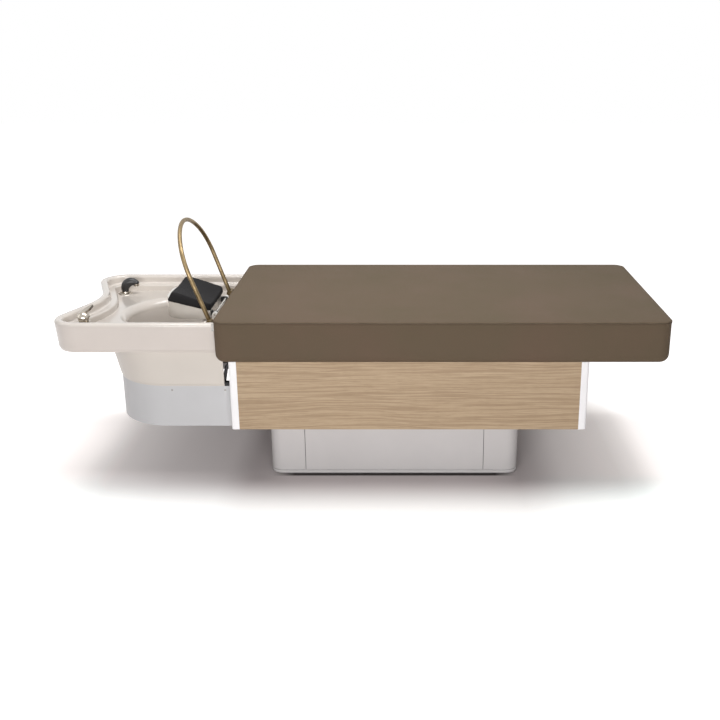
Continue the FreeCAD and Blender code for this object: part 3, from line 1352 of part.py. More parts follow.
def mixer_lever():
    """A round cap over the ball with two ears for its pin and a leaf-shaped lever."""
    cap = Part.makeSphere(MIXER_RADIUS)
    below = box(
        -2 * MIXER_RADIUS, 2 * MIXER_RADIUS, -2 * MIXER_RADIUS, 2 * MIXER_RADIUS,
        -2 * MIXER_RADIUS, BALL_RADIUS * LEVER_SKIRT_SHARE)
    cap = cap.cut(below)
    root = LEVER_WIDTH / 3
    half = LEVER_WIDTH / 2
    middle_x = LEVER_LENGTH / 2
    outline = Part.Wire([
        line(V(0, root, 0), V(0, -root, 0)),
        arc(V(0, -root, 0), V(middle_x, -half, 0), V(LEVER_LENGTH, 0, 0)),
        arc(V(LEVER_LENGTH, 0, 0), V(middle_x, half, 0), V(0, root, 0)),
    ])
    leaf = prism(outline, LEVER_THICKNESS)
    leaf.translate(V(0, 0, MIXER_RADIUS - LEVER_THICKNESS - LEVER_SINK))
    leaf.rotate(V(0, 0, 0), V(0, 1, 0), -LEVER_RISE)
    lever = cap.fuse(leaf).fuse(along_lever_pin(LEVER_EAR_RADIUS, MIXER_RADIUS))
    lever = lever.cut(Part.makeSphere(BALL_RADIUS + JOIN))
    lever = lever.cut(along_lever_pin(LEVER_PIN_RADIUS + RUNNING_CLEARANCE, 2 * MIXER_RADIUS))
    lever.rotate(V(0, 0, 0), V(0, 0, 1), LEVER_TURN)
    lever.translate(BALL_PLACE)
    return lever


def hexagon_nut(place, bore):
    points = []
    for corner in range(6):
        angle = corner * math.pi / 3
        points.append(place + V(BACK_NUT_RADIUS * math.cos(angle), BACK_NUT_RADIUS * math.sin(angle), 0))
    nut = prism(Part.makePolygon(points + points[:1]), BACK_NUT_HEIGHT)
    return nut.cut(rod(place - V(0, 0, OVERRUN), bore, BACK_NUT_HEIGHT + 2 * OVERRUN))


def tap_back_nuts():
    nuts = []
    for side in SIDES:
        nuts.append(hexagon_nut(V(TAP_X, side * TAP_Y, DECK_UNDER - BACK_NUT_HEIGHT), NECK_RADIUS))
    return group(nuts)


# Hand shower: rosette on the deck, turning collar, and a bent handle that lifts out
SHOWER_PLACE = V(TAP_X, TAP_Y, DECK_Z)
COLLAR_TOP = ESCUTCHEON_HEIGHT + JOIN + COLLAR_HEAD_HEIGHT


def shower_rosette():
    bore = COLLAR_RADIUS + RUNNING_CLEARANCE
    neck_low = -DECK_THICKNESS - NECK_LENGTH
    edge = ESCUTCHEON_RADIUS - ESCUTCHEON_HEIGHT / 4
    shoulder = (ESCUTCHEON_RADIUS + COLLAR_HEAD_RADIUS) / 2
    profile = (
        (bore, neck_low), (NECK_RADIUS, neck_low), (NECK_RADIUS, 0), (ESCUTCHEON_RADIUS, 0),
        (edge, ESCUTCHEON_HEIGHT / 2), (shoulder, ESCUTCHEON_HEIGHT), (bore, ESCUTCHEON_HEIGHT))
    return revolve(profile, SHOWER_PLACE)


def shower_collar():
    bore = SHANK_RADIUS + RUNNING_CLEARANCE
    seat = ESCUTCHEON_HEIGHT + JOIN
    low = COLLAR_TOP - COLLAR_LENGTH
    profile = (
        (bore, low), (COLLAR_RADIUS, low), (COLLAR_RADIUS, seat), (COLLAR_HEAD_RADIUS, seat),
        (COLLAR_HEAD_RADIUS - COLLAR_HEAD_HEIGHT / 4, COLLAR_TOP), (bore, COLLAR_TOP))
    return revolve(profile, SHOWER_PLACE)


def handle_axis():
    """The handle's middle line: up out of the collar, over towards the bowl, and a short nose."""
    base = SHOWER_PLACE + V(0, 0, COLLAR_TOP + JOIN)
    turn = math.radians(HANDLE_BEND_ANGLE)
    centre = base + V(HANDLE_BEND, 0, HANDLE_RISE)

    def bend(angle):
        return centre + V(-HANDLE_BEND * math.cos(angle), 0, HANDLE_BEND * math.sin(angle))

    nose = bend(turn) + V(math.sin(turn), 0, math.cos(turn)) * HANDLE_NOSE
    path = Part.Wire([
        line(base, bend(0)),
        arc(bend(0), bend(turn / 2), bend(turn)),
        line(bend(turn), nose),
    ])
    return path, nose


def shower_handle():
    """A bent grip, fullest in its bend, with a round nose."""
    path, nose = handle_axis()
    rings = []
    for edge, share in zip(path.Edges, HANDLE_SHARES):
        rings.append(handle_ring(edge, edge.FirstParameter, HANDLE_RADIUS * share))
    last = path.Edges[-1]
    rings.append(handle_ring(last, last.LastParameter, HANDLE_RADIUS))
    return path.makePipeShell(rings, True, False).fuse(Part.makeSphere(HANDLE_RADIUS, nose))


def handle_ring(edge, place, radius):
    circle = Part.Circle(edge.valueAt(place), edge.tangentAt(place), radius)
    return Part.Wire([circle.toShape()])


def shower_shank():
    return rod(SHOWER_PLACE + V(0, 0, COLLAR_TOP + JOIN), SHANK_RADIUS, SHANK_LENGTH, V(0, 0, -1))


def shower_nozzle(handle):
    path, nose = handle_axis()
    spray = rod(nose, SPRAY_RADIUS, HANDLE_RADIUS + SPRAY_LIP, V(0, 0, -1))
    return spray.cut(handle)


def save_all():
    tray = basin()
    save("basin", basin_tray(tray))
    save("bowl", bowl_quarters(tray))
    save("mattress", mattress())
    save("mattress_board", mattress_board())
    save("front_wood_panel", wood_panel(-1))
    save("rear_wood_panel", wood_panel(1))
    holes = rail_passages() + [hose_passage()]
    save("head_end_panel", end_panel(PANEL_HEAD, CASING_HEAD, PANEL_HEAD, holes))
    save("foot_end_panel", end_panel(CASING_FOOT, PANEL_FOOT, PANEL_FOOT, [board_notch()]))
    save("front_rail", rail(-1))
    save("rear_rail", rail(1))
    for name, x in zip(("head", "foot"), COLUMN_PLACES):
        save(name + "_column_outer", column_outer(x))
        save(name + "_column_inner", column_inner(x))
    save("cross_members", cross_members())
    save("panel_brackets", panel_brackets())
    save("end_brackets", end_brackets())
    save("column_glides", column_glides())
    save("lift_actuators", lift_actuators())
    save("actuator_rods", actuator_rods())
    save("base_plate", base_plate())
    save("levelling_feet", levelling_feet())
    save("plinth_head_cover", plinth_cover(-1))
    save("plinth_foot_cover", plinth_cover(1))
    save("plinth_front_panel", plinth_panel(-1))
    save("plinth_rear_panel", plinth_panel(1))
    save("plinth_posts", plinth_posts())
    save("control_box", control_box())
    save("cable_gland", cable_gland())
    save("bowl_shell", bowl_shell())
    save("lower_cover", lower_cover())
    save("cover_screws", cover_screws())
    save("cover_brackets", cover_brackets())
    save("rubber_buffers", rubber_buffers())
    save("support_posts", support_posts())
    save("basin_clips", basin_clips(tray))
    save("drain_flange", drain_flange())
    save("hair_strainer", hair_strainer())
    save("bottle_trap", bottle_trap())
    save("waste_pipe", waste_pipe())
    save("supply_valve", supply_valve())
    save("supply_hose", tube_along(hose_path(), HOSE_RADIUS))
    save("water_manifold", water_manifold())
    save("water_ring", water_ring())
    save("ring_pivots", ring_pivots())
    save("ring_pivot_caps", ring_pivot_caps())
    save("headrest_pad", headrest_pad())
    save("headrest_carrier", headrest_carrier())
    save("headrest_arms", headrest_arms())
    save("hinge_rod", hinge_rod())
    save("hinge_blocks", hinge_blocks())
    save("mixer_body", mixer_body())
    save("mixer_ball", mixer_ball())
    save("mixer_lever", mixer_lever())
    save("tap_back_nuts", tap_back_nuts())
    save("shower_rosette", shower_rosette())
    save("shower_collar", shower_collar())
    handle = shower_handle()
    save("shower_handle", handle)
    save("shower_shank", shower_shank())
    save("shower_nozzle", shower_nozzle(handle))


save_all()
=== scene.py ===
import math

import bmesh
import bpy
from bpy.props import FloatProperty, FloatVectorProperty, PointerProperty
from bpy.types import Operator, Panel, PropertyGroup
from mathutils import Matrix, Vector


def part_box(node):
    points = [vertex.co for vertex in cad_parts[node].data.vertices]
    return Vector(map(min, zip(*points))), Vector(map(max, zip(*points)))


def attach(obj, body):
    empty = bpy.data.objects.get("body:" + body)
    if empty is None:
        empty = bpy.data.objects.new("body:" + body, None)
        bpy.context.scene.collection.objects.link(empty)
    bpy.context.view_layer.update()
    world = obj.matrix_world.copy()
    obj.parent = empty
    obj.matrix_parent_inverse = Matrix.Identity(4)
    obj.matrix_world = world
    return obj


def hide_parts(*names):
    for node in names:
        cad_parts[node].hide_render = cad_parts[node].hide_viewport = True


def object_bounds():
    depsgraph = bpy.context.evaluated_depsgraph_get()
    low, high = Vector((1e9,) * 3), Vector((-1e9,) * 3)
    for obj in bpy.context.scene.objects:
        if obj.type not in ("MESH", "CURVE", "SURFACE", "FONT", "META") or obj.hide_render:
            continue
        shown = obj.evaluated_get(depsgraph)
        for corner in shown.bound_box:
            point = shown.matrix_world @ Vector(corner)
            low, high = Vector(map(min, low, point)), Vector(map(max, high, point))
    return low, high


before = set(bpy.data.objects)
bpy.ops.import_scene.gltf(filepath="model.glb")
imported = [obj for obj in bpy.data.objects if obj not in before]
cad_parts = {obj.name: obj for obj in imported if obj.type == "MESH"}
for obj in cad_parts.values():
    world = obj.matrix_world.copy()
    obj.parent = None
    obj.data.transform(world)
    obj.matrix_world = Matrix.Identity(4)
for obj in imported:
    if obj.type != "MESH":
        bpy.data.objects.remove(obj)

bl_info = {
    "name": "Hair washing bed",
    "version": (1, 0, 0),
    "blender": (4, 5, 0),
    "location": "3D View > Sidebar > Wash Bed",
    "description": "Builds the upholstery and the finishes of a lifting hair washing bed round its CAD frame",
    "category": "Object",
}

CAD_LOW, CAD_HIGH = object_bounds()
CAD_MIDDLE = (CAD_LOW + CAD_HIGH) / 2
MATTRESS_LOW, MATTRESS_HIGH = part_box("mattress")
PAD_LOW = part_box("headrest_pad")[0]
PLINTH_LOW, PLINTH_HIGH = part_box("base_plate")
COUCH_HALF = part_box("rear_wood_panel")[1].y


def paint(red, green, blue):
    """A colour as a paint chart gives it, 0 to 255, in the light values that shaders use."""
    shares = [level / 255 for level in (red, green, blue)]
    return tuple(s / 12.92 if s <= 0.04045 else ((s + 0.055) / 1.055) ** 2.4 for s in shares)


def colour(name, description, default):
    return FloatVectorProperty(
        name=name, description=description, subtype="COLOR", size=3, min=0, max=1, default=default)


def length(name, description, default):
    return FloatProperty(name=name, description=description, unit="LENGTH", min=0, default=default)


class WashBedUpholstery(PropertyGroup):
    """Sizes of the mattress cover and the headrest pad."""

    side_swell: length("Side swell", "How far the cover reaches past its board at each side", 0.009)
    head_swell: length("Head swell", "How far the cover reaches past its board at the head", 0.005)
    foot_swell: length("Foot swell", "How far the cover reaches past its board at the foot", 0.001)
    plan_corner: length("Plan corner", "Radius of the mattress's upright corners", 0.04)
    top_edge: length("Top edge", "Rounding between the top panel and the border", 0.006)
    foot_edge: length("Foot edge", "Rounding of the mattress's lower edge", 0.026)
    sag: length("Sag", "How far the cover hangs down where it reaches past the couch", 0.005)
    crown: length("Crown", "How far the top panel stands up in its middle", 0.006)
    panel_pitch: length("Panel pitch", "Mesh spacing on the mattress panels", 0.036)
    welt_radius: length("Welt radius", "Radius of the piping under the top seam", 0.0028)
    seam_radius: length("Seam radius", "Radius of the stitched seam above the piping", 0.0018)
    pad_voxel: length("Pad voxel", "Voxel size of the headrest pad's mesh", 0.005)
    pad_swell: length("Pad swell", "How far the headrest pad may swell", 0.004)


class WashBedTrim(PropertyGroup):
    """Sizes of the light step round the plinth's base plate."""

    step_foot: length("Step foot", "Height of the step's lower edge above the floor", 0.004)
    step_height: length("Step height", "Height of the step", 0.0113)
    step_wall: length("Step wall", "Thickness of the step's strip", 0.0041)
    step_gap: length("Step gap", "Gap between the base plate and the strip", 0.0005)
    step_corner: length("Step corner", "Radius of the step's corners", 0.044)


class WashBedColours(PropertyGroup):
    """Colours of the bed's finishes."""

    leatherette: colour("Leatherette", "Mattress cover", paint(103, 89, 73))
    # The seam's thread is darker partly as painted shade of its groove.
    seam_thread: colour("Seam thread", "Stitching under the mattress's top edge", paint(92, 78, 62))
    pad_black: colour("Pad black", "Headrest pad", paint(32, 31, 32))
    acrylic: colour("Acrylic", "Basin moulding", paint(213, 205, 197))
    shell_white: colour("Shell white", "Shell under the basin", paint(213, 207, 198))
    cover_grey: colour("Cover grey", "Lower cover", paint(198, 199, 200))
    plinth_grey: colour("Plinth grey", "Plinth covers and panels", paint(199, 196, 195))
    board_white: colour("Board white", "End panels", paint(250, 250, 251))
    oak_light: colour("Oak light", "Early wood of the oak veneer", paint(190, 168, 139))
    oak_dark: colour("Oak dark", "Late wood of the oak veneer", paint(162, 138, 109))
    oak_pore: colour("Oak pore", "Pores of the oak veneer", paint(128, 102, 76))
    brass: colour("Brass", "Water ring", paint(152, 132, 99))
    # Chrome's darker, warmer tint is a painted reflection of its warm surroundings.
    chrome: colour("Chrome", "Taps and fittings", paint(186, 178, 167))
    handle_black: colour("Handle black", "Hand shower's handle", paint(34, 33, 35))
    carrier_silver: colour("Carrier silver", "Headrest carrier", paint(226, 222, 216))


class WashBedStage(PropertyGroup):
    """Camera, floor and lamps."""

    lens: FloatProperty(
        name="Lens", description="Focal length of the camera", unit="CAMERA", default=48.88)
    dip: FloatProperty(
        name="Dip", description="How far the camera looks down", unit="ROTATION",
        default=math.radians(18.596))
    shift: FloatProperty(name="Shift", description="Sideways shift of the picture", default=-0.0678)
    stand_x: length("Camera along", "Camera's place along the bed", 0.17685)
    stand_y: length("Camera off", "Camera's distance in front of the origin", 3.59837)
    stand_z: length("Camera height", "Camera's height above the floor", 1.55106)
    top_lamp: FloatProperty(name="Top lamp", description="Power of the softbox above the bed", default=67)
    front_lamp: FloatProperty(name="Front lamp", description="Power of the softbox in front", default=127)
    side_lamp: FloatProperty(name="Side lamp", description="Power of the softbox at the head end", default=9)
    fill: FloatProperty(name="Fill", description="Light that comes from all round", default=0.08)
    floor_colour: colour("Floor colour", "Paint of the floor", paint(214, 205, 205))
    # A painted shadow: the floor's colour in the gap under the plinth.
    gap_shadow_colour: colour("Gap shadow colour", "Floor in the gap under the plinth", paint(60, 54, 54))
    # Colours of the floor's painted glow.
    front_tint: colour("Front tint", "The floor's whiteness in front of the bed", paint(242, 255, 252))
    side_tint: colour("Side tint", "The floor's whiteness beside and behind the bed", paint(255, 251, 248))


# How strongly the floor glows by itself, as (place, glow) along and across the bed: far off it is a plain
# bright floor, and near the bed the glow is painted light that shapes the soft edge of its shadow
GLOW_ALONG = (
    (-1.4, 1.0), (-1.12, 0.71), (-1.04, 0.6), (-0.97, 0.42), (-0.9, 0.28), (-0.8, 0.21), (-0.7, 0.15),
    (-0.5, 0.1), (-0.4, 0.01), (0.58, 0.0), (0.65, 0.07), (0.75, 0.21), (0.95, 0.37), (1.02, 0.52),
    (1.1, 0.78), (1.4, 1.0))
GLOW_ACROSS = (
    (-0.9, 1.0), (-0.66, 0.5), (-0.57, 0.36), (-0.53, 0.28), (-0.49, 0.19), (-0.45, 0.1), (-0.41, 0.03),
    (-0.37, 0.0), (0.2, 0.0), (0.27, 0.06), (0.34, 0.28), (0.45, 0.5), (0.66, 0.7), (0.9, 1.0))

# Where the front tint is full, as a share of the base plate's half width, and how strong the floor's painted
# glow is where its tint starts to fade
FRONT_SHARE = 1.5
TINTED_GLOW = 0.7

# How far the floor reaches, how far the painted shadow in the gap under the plinth spreads past its base
# plate, and how softly it ends along the bed
FLOOR_REACH = 14
GAP_SHADOW_SPREAD = 0.024
GAP_SHADOW_FADE = 0.08

# Each softbox's name, the stage's value for its power, its width and height, and its place
SOFTBOXES = (
    ("Top softbox", "top_lamp", (2.6, 1.2), (CAD_MIDDLE.x, -0.2, 2.9)),
    ("Front softbox", "front_lamp", (3.4, 0.7), (-0.1, -4.4, 1.3)),
    ("Head softbox", "side_lamp", (1.8, 2.0), (-3.6, -0.6, 1.9)),
)

# Features of the oak's grain to a metre, along the board, through it and up it
GRAIN_DRIFT = (1.6, 1, 5)
GRAIN_BROAD = (0.9, 5, 24)
GRAIN_STREAKS = (4.2, 9, 270)
GRAIN_FIBRES = (6, 60, 620)
GRAIN_PORES = (26, 500, 1500)

# How far the oak's grain sways up and down on its way along the board
GRAIN_SWAY = 0.05

# Pressure and length of the two cloth simulations
COVER_PRESSURE = 6.0
COVER_FRAMES = 18
SKIN_PRESSURE = 4.0
SKIN_FRAMES = 20

# How much smaller the headrest's skin starts, as a share of its swell, and how often it is smoothed
DRAW_IN_SHARE = 0.6
SMOOTH_ROUNDS = 3

# Points nearer than this are one, and faces whose normal rises more than this lie level
SAME_PLACE = 1e-5
LEVEL_RISE = 0.9

# Steps of the rounded edges, and sides of the round tubes
CORNER_STEPS = 7
TOP_EDGE_STEPS = 3
FOOT_EDGE_STEPS = 5
STEP_CORNER_STEPS = 8
TUBE_SIDES = 12
TUBE_TURN_STEPS = 10

# How the piping and the stitched seam sit in the cover, as shares of its top edge and of their own radius
SEAM_DROP_SHARE = 0.6
WELT_INSET_SHARE = 0.5
SEAM_INSET_SHARE = 0.2


# Shader nodes
def connect(tree, socket, value):
    """Link another socket to this one, or set a number or a colour on it."""
    if isinstance(value, bpy.types.NodeSocket):
        tree.links.new(value, socket)
    elif socket.type == "RGBA" and len(value) == 3:
        socket.default_value = (*value, 1)
    else:
        socket.default_value = value


def node(tree, kind, settings=None, **inputs):
    """Add a shader node; its settings are attributes, and its inputs are values or other sockets."""
    made = tree.nodes.new("ShaderNode" + kind)
    for name, value in (settings or {}).items():
        setattr(made, name, value)
    for name, value in inputs.items():
        connect(tree, made.inputs[name.replace("_", " ")], value)
    return made


def calculate(tree, operation, first, second=0.0):
    """The result of a Math node."""
    made = tree.nodes.new("ShaderNodeMath")
    made.operation = operation
    connect(tree, made.inputs[0], first)
    connect(tree, made.inputs[1], second)
    return made.outputs[0]


def blend_colours(tree, share, first, second):
    """The first colour where share is 0, and the second where it is 1."""
    made = tree.nodes.new("ShaderNodeMix")
    made.data_type = "RGBA"
    connect(tree, made.inputs[0], share)
    connect(tree, made.inputs[6], first)
    connect(tree, made.inputs[7], second)
    return made.outputs[2]


def place_on_object(tree, scale=(1, 1, 1)):
    """The object's own coordinates, scaled."""
    where = node(tree, "TexCoord").outputs["Object"]
    return node(tree, "Mapping", Vector=where, Scale=scale).outputs["Vector"]


def spread(tree, value, low, high, to_low, to_high):
    """Map a number from one range onto another, and hold it inside."""
    made = node(tree, "MapRange")
    for socket, number in zip(made.inputs, (value, low, high, to_low, to_high)):
        connect(tree, socket, number)
    return made.outputs[0]


def ramp(tree, place, stops):
    """A number that follows (place, value) stops."""
    first, last = stops[0][0], stops[-1][0]
    made = node(tree, "ValToRGB", Fac=spread(tree, place, first, last, 0.0, 1.0))
    elements = made.color_ramp.elements
    while len(elements) < len(stops):
        elements.new(1.0)
    for element, (stop, value) in zip(elements, stops):
        element.position = (stop - first) / (last - first)
        element.color = (value, value, value, 1)
    return made.outputs["Color"]


def inside(tree, place, low, high, soft):
    """1 between two places and 0 outside them, with a soft change inside each end."""
    apart = calculate(tree, "ABSOLUTE", calculate(tree, "SUBTRACT", place, (low + high) / 2))
    return spread(tree, apart, (high - low) / 2 - soft, (high - low) / 2, 1.0, 0.0)


def start_group(name, inputs, outputs):
    """A node group with named number inputs (name, default) and outputs (name, kind)."""
    group = bpy.data.node_groups.new(name, "ShaderNodeTree")
    for label, default in inputs:
        socket = group.interface.new_socket(label, in_out="INPUT", socket_type="NodeSocketFloat")
        socket.default_value = default
    for label, kind in outputs:
        group.interface.new_socket(label, in_out="OUTPUT", socket_type="NodeSocket" + kind)
    return group, group.nodes.new("NodeGroupInput"), group.nodes.new("NodeGroupOutput")


def uneven_group():
    """Slow changes of tone over a surface, from 0 to 1."""
    tree, given, result = start_group("Uneven tone", [("Size", 0.2)], [("Mask", "Float")])
    scale = calculate(tree, "DIVIDE", 1.0, given.outputs["Size"])
    noise = node(tree, "TexNoise", Vector=place_on_object(tree), Scale=scale, Detail=4.0, Roughness=0.55)
    connect(tree, result.inputs["Mask"], spread(tree, noise.outputs[0], 0.3, 0.7, 0.0, 1.0))
    return tree


def orange_peel_group():
    """The faint dimples of moulded plastic and powder coat."""
    tree, given, result = start_group("Orange peel", [("Dimple", 0.002)], [("Height", "Float")])
    scale = calculate(tree, "DIVIDE", 1.0, given.outputs["Dimple"])
    noise = node(tree, "TexNoise", Vector=place_on_object(tree), Scale=scale, Detail=2.0, Roughness=0.4)
    connect(tree, result.inputs["Height"], noise.outputs[0])
    return tree


def leather_group():
    """Pebbled grain: raised cells with fine creases between them."""
    tree, given, result = start_group(
        "Leather grain", [("Pebble", 0.0014)], [("Height", "Float"), ("Crease", "Float")])
    where = place_on_object(tree)
    scale = calculate(tree, "DIVIDE", 1.0, given.outputs["Pebble"])
    bend = node(tree, "TexNoise", Vector=where, Scale=calculate(tree, "MULTIPLY", scale, 0.3), Detail=2.0)
    shift = node(tree, "VectorMath", {"operation": "SCALE"}, Vector=bend.outputs["Color"], Scale=0.0012)
    moved = node(tree, "VectorMath", {"operation": "ADD"})
    connect(tree, moved.inputs[0], where)
    connect(tree, moved.inputs[1], shift.outputs[0])
    cells = node(
        tree, "TexVoronoi", {"feature": "DISTANCE_TO_EDGE"}, Vector=moved.outputs[0], Scale=scale)
    pebble = spread(tree, cells.outputs["Distance"], 0.0, 0.22, 0.0, 1.0)
    fine = node(tree, "TexNoise", Vector=where, Scale=calculate(tree, "MULTIPLY", scale, 3.0), Detail=3.0)
    connect(tree, result.inputs["Height"], calculate(
        tree, "ADD", pebble, calculate(tree, "MULTIPLY", fine.outputs[0], 0.3)))
    connect(tree, result.inputs["Crease"], calculate(tree, "SUBTRACT", 1.0, pebble))
    return tree


def edge_group():
    """A mask along sharp edges, for a coat rubbed through there and for a painted highlight where light
    catches.
    """
    tree, given, result = start_group("Worn edge", [("Reach", 0.002)], [("Mask", "Float")])
    soft = node(tree, "Bevel", {"samples": 4}, Radius=given.outputs["Reach"])
    plain = node(tree, "NewGeometry").outputs["Normal"]
    turn = node(tree, "VectorMath", {"operation": "DOT_PRODUCT"})
    connect(tree, turn.inputs[0], soft.outputs[0])
    connect(tree, turn.inputs[1], plain)
    worn_and_lit = spread(tree, turn.outputs["Value"], 0.75, 0.99, 1.0, 0.0)
    patch = node(tree, "TexNoise", Vector=place_on_object(tree), Scale=60.0, Detail=3.0)
    connect(tree, result.inputs["Mask"], calculate(
        tree, "MULTIPLY", worn_and_lit, spread(tree, patch.outputs[0], 0.35, 0.65, 0.2, 1.0)))
    return tree


def brushed_group():
    """Fine lines of a brushed or drawn metal, which run along X."""
    tree, given, result = start_group("Brushed", [("Line", 0.0004)], [("Lines", "Float")])
    scale = calculate(tree, "DIVIDE", 1.0, given.outputs["Line"])
    where = place_on_object(tree, scale=(0.02, 1, 1))
    noise = node(tree, "TexNoise", Vector=where, Scale=scale, Detail=2.0)
    connect(tree, result.inputs["Lines"], noise.outputs[0])
    return tree


GROUP_MAKERS = {
    "Uneven tone": uneven_group,
    "Orange peel": orange_peel_group,
    "Leather grain": leather_group,
    "Worn edge": edge_group,
    "Brushed": brushed_group,
}


def place_group(tree, name, value):
    """Place a shared effect; value goes to its one input."""
    made = tree.nodes.new("ShaderNodeGroup")
    made.node_tree = bpy.data.node_groups.get(name) or GROUP_MAKERS[name]()
    made.inputs[0].default_value = value
    return made.outputs


def start_material(name, fixed):
    """A material with one Principled shader; fixed sets the sockets that are the same all over."""
    made = bpy.data.materials.new(name)
    made.use_nodes = True
    shader = made.node_tree.nodes["Principled BSDF"]
    for label, value in fixed.items():
        shader.inputs[label].default_value = value
    return made, made.node_tree, shader.inputs


def bump(tree, sockets, height, depth):
    """Raise the surface by up to depth where height is 1."""
    made = node(tree, "Bump", Strength=1.0, Distance=depth, Height=height)
    connect(tree, sockets["Normal"], made.outputs["Normal"])


def coated(name, tint, roughness, dimple, depth, wear_and_highlight=0.25, fixed=None):
    """Paint, powder coat or moulded plastic: uneven tone, orange peel, and edges made paler, partly as
    rubbing and partly as a painted highlight.
    """
    made, tree, sockets = start_material(name, fixed or {})
    tone = place_group(tree, "Uneven tone", 0.25)["Mask"]
    shade = [c * 0.93 for c in tint]
    base = blend_colours(tree, tone, shade, tint)
    edge = place_group(tree, "Worn edge", 0.0015)["Mask"]
    # The paler edges are partly rubbed coat and partly a painted highlight.
    pale = [c + (1 - c) * wear_and_highlight for c in tint]
    base = blend_colours(tree, calculate(tree, "MULTIPLY", edge, 0.6), base, pale)
    connect(tree, sockets["Base Color"], base)
    connect(tree, sockets["Roughness"], spread(tree, tone, 0.0, 1.0, roughness * 1.12, roughness * 0.9))
    bump(tree, sockets, place_group(tree, "Orange peel", dimple)["Height"], depth)
    return made


def leatherette(name, tint, pebble, depth, roughness):
    """Pebbled artificial leather that drifts between a greener and a redder tone, with painted shade in its
    creases.
    """
    made, tree, sockets = start_material(name, {"Specular IOR Level": 0.1})
    tone = place_group(tree, "Uneven tone", 0.35)["Mask"]
    grain = place_group(tree, "Leather grain", pebble)
    greener = [tint[0] * 0.95, tint[1] * 1.01, tint[2] * 0.98]
    redder = [tint[0] * 1.05, tint[1] * 0.99, tint[2] * 1.02]
    base = blend_colours(tree, tone, greener, redder)
    # Painted shade: the creases between the pebbles are darkened.
    crease_shade = calculate(tree, "MULTIPLY", grain["Crease"], 0.3)
    base = blend_colours(tree, crease_shade, base, [c * 0.6 for c in tint])
    connect(tree, sockets["Base Color"], base)
    rough = spread(tree, tone, 0.0, 1.0, roughness + 0.05, roughness - 0.04)
    connect(tree, sockets["Roughness"], calculate(
        tree, "ADD", rough, calculate(tree, "MULTIPLY", grain["Crease"], 0.1)))
    bump(tree, sockets, grain["Height"], depth)
    return made


def metal(name, tint, roughness, lines, depth=0.0, dull_and_reflection=0.88, patch=0.06):
    """Brushed or polished metal, darker in patches: faint patches are uneven dullness, strong ones are
    painted reflections.
    """
    made, tree, sockets = start_material(name, {"Metallic": 1.0})
    tone = place_group(tree, "Uneven tone", patch)["Mask"]
    brushed = place_group(tree, "Brushed", lines)["Lines"]
    connect(tree, sockets["Base Color"], blend_colours(tree, tone, [c * dull_and_reflection for c in tint], tint))
    rough = spread(tree, tone, 0.0, 1.0, roughness * 1.25, roughness * 0.85)
    connect(tree, sockets["Roughness"], calculate(
        tree, "ADD", rough, calculate(tree, "MULTIPLY", brushed, roughness * 0.3)))
    bump(tree, sockets, brushed, depth)
    return made


def oak(name, colours):
    """Straight-grained oak veneer, whose grain runs along the bed."""
    made, tree, sockets = start_material(name, {"Specular IOR Level": 0.35})
    drift = node(tree, "TexNoise", Vector=place_on_object(tree, GRAIN_DRIFT), Scale=1.0, Detail=2.0)
    sway = node(tree, "CombineXYZ", Z=calculate(tree, "MULTIPLY", drift.outputs[0], GRAIN_SWAY))
    moved = node(tree, "VectorMath", {"operation": "ADD"})
    connect(tree, moved.inputs[0], node(tree, "TexCoord").outputs["Object"])
    connect(tree, moved.inputs[1], sway.outputs[0])

    def grain(scale, detail, rough=0.5):
        place = node(tree, "Mapping", Vector=moved.outputs[0], Scale=scale)
        return node(
            tree, "TexNoise", Vector=place.outputs[0], Scale=1.0, Detail=detail, Roughness=rough).outputs[0]

    broad = spread(tree, grain(GRAIN_BROAD, 3.0), 0.36, 0.64, 0.0, 1.0)
    streaks = spread(tree, grain(GRAIN_STREAKS, 1.5, 0.4), 0.48, 0.6, 0.0, 1.0)
    fibres = spread(tree, grain(GRAIN_FIBRES, 2.0), 0.42, 0.62, 0.0, 1.0)
    pores = spread(tree, grain(GRAIN_PORES, 1.0), 0.6, 0.7, 0.0, 1.0)
    base = blend_colours(tree, calculate(tree, "MULTIPLY", broad, 0.2), colours.oak_light, colours.oak_dark)
    base = blend_colours(tree, calculate(tree, "MULTIPLY", streaks, 0.45), base, colours.oak_pore)
    base = blend_colours(tree, calculate(tree, "MULTIPLY", fibres, 0.6), base, colours.oak_dark)
    base = blend_colours(tree, calculate(tree, "MULTIPLY", pores, 0.45), base, colours.oak_pore)
    edge = place_group(tree, "Worn edge", 0.002)["Mask"]
    base = blend_colours(tree, calculate(tree, "MULTIPLY", edge, 0.7), base, colours.oak_pore)
    connect(tree, sockets["Base Color"], base)
    connect(tree, sockets["Roughness"], spread(tree, fibres, 0.0, 1.0, 0.56, 0.46))
    height = calculate(tree, "SUBTRACT", calculate(tree, "MULTIPLY", fibres, 0.3), pores)
    bump(tree, sockets, height, 0.00012)
    return made


def plywood(name, tint):
    """Birch plywood with its layers on the edges and soft figure on its faces."""
    made, tree, sockets = start_material(name, {"Roughness": 0.62})
    where = place_on_object(tree, (1, 14, 14))
    figure = node(tree, "TexNoise", Vector=where, Scale=2.0, Detail=4.0, Distortion=0.6)
    layers = node(tree, "TexWave", {"bands_direction": "Z"}, Vector=place_on_object(tree), Scale=105.0)
    across = node(tree, "SeparateXYZ", Vector=node(tree, "NewGeometry").outputs["Normal"]).outputs["Z"]
    on_edge = calculate(tree, "LESS_THAN", calculate(tree, "ABSOLUTE", across), 0.5)
    dark = [c * 0.72 for c in tint]
    face = blend_colours(tree, spread(tree, figure.outputs[0], 0.35, 0.65, 0.0, 0.5), tint, dark)
    connect(tree, sockets["Base Color"], blend_colours(
        tree, calculate(tree, "MULTIPLY", on_edge, layers.outputs["Fac"]), face, dark))
    bump(tree, sockets, figure.outputs[0], 0.0001)
    return made


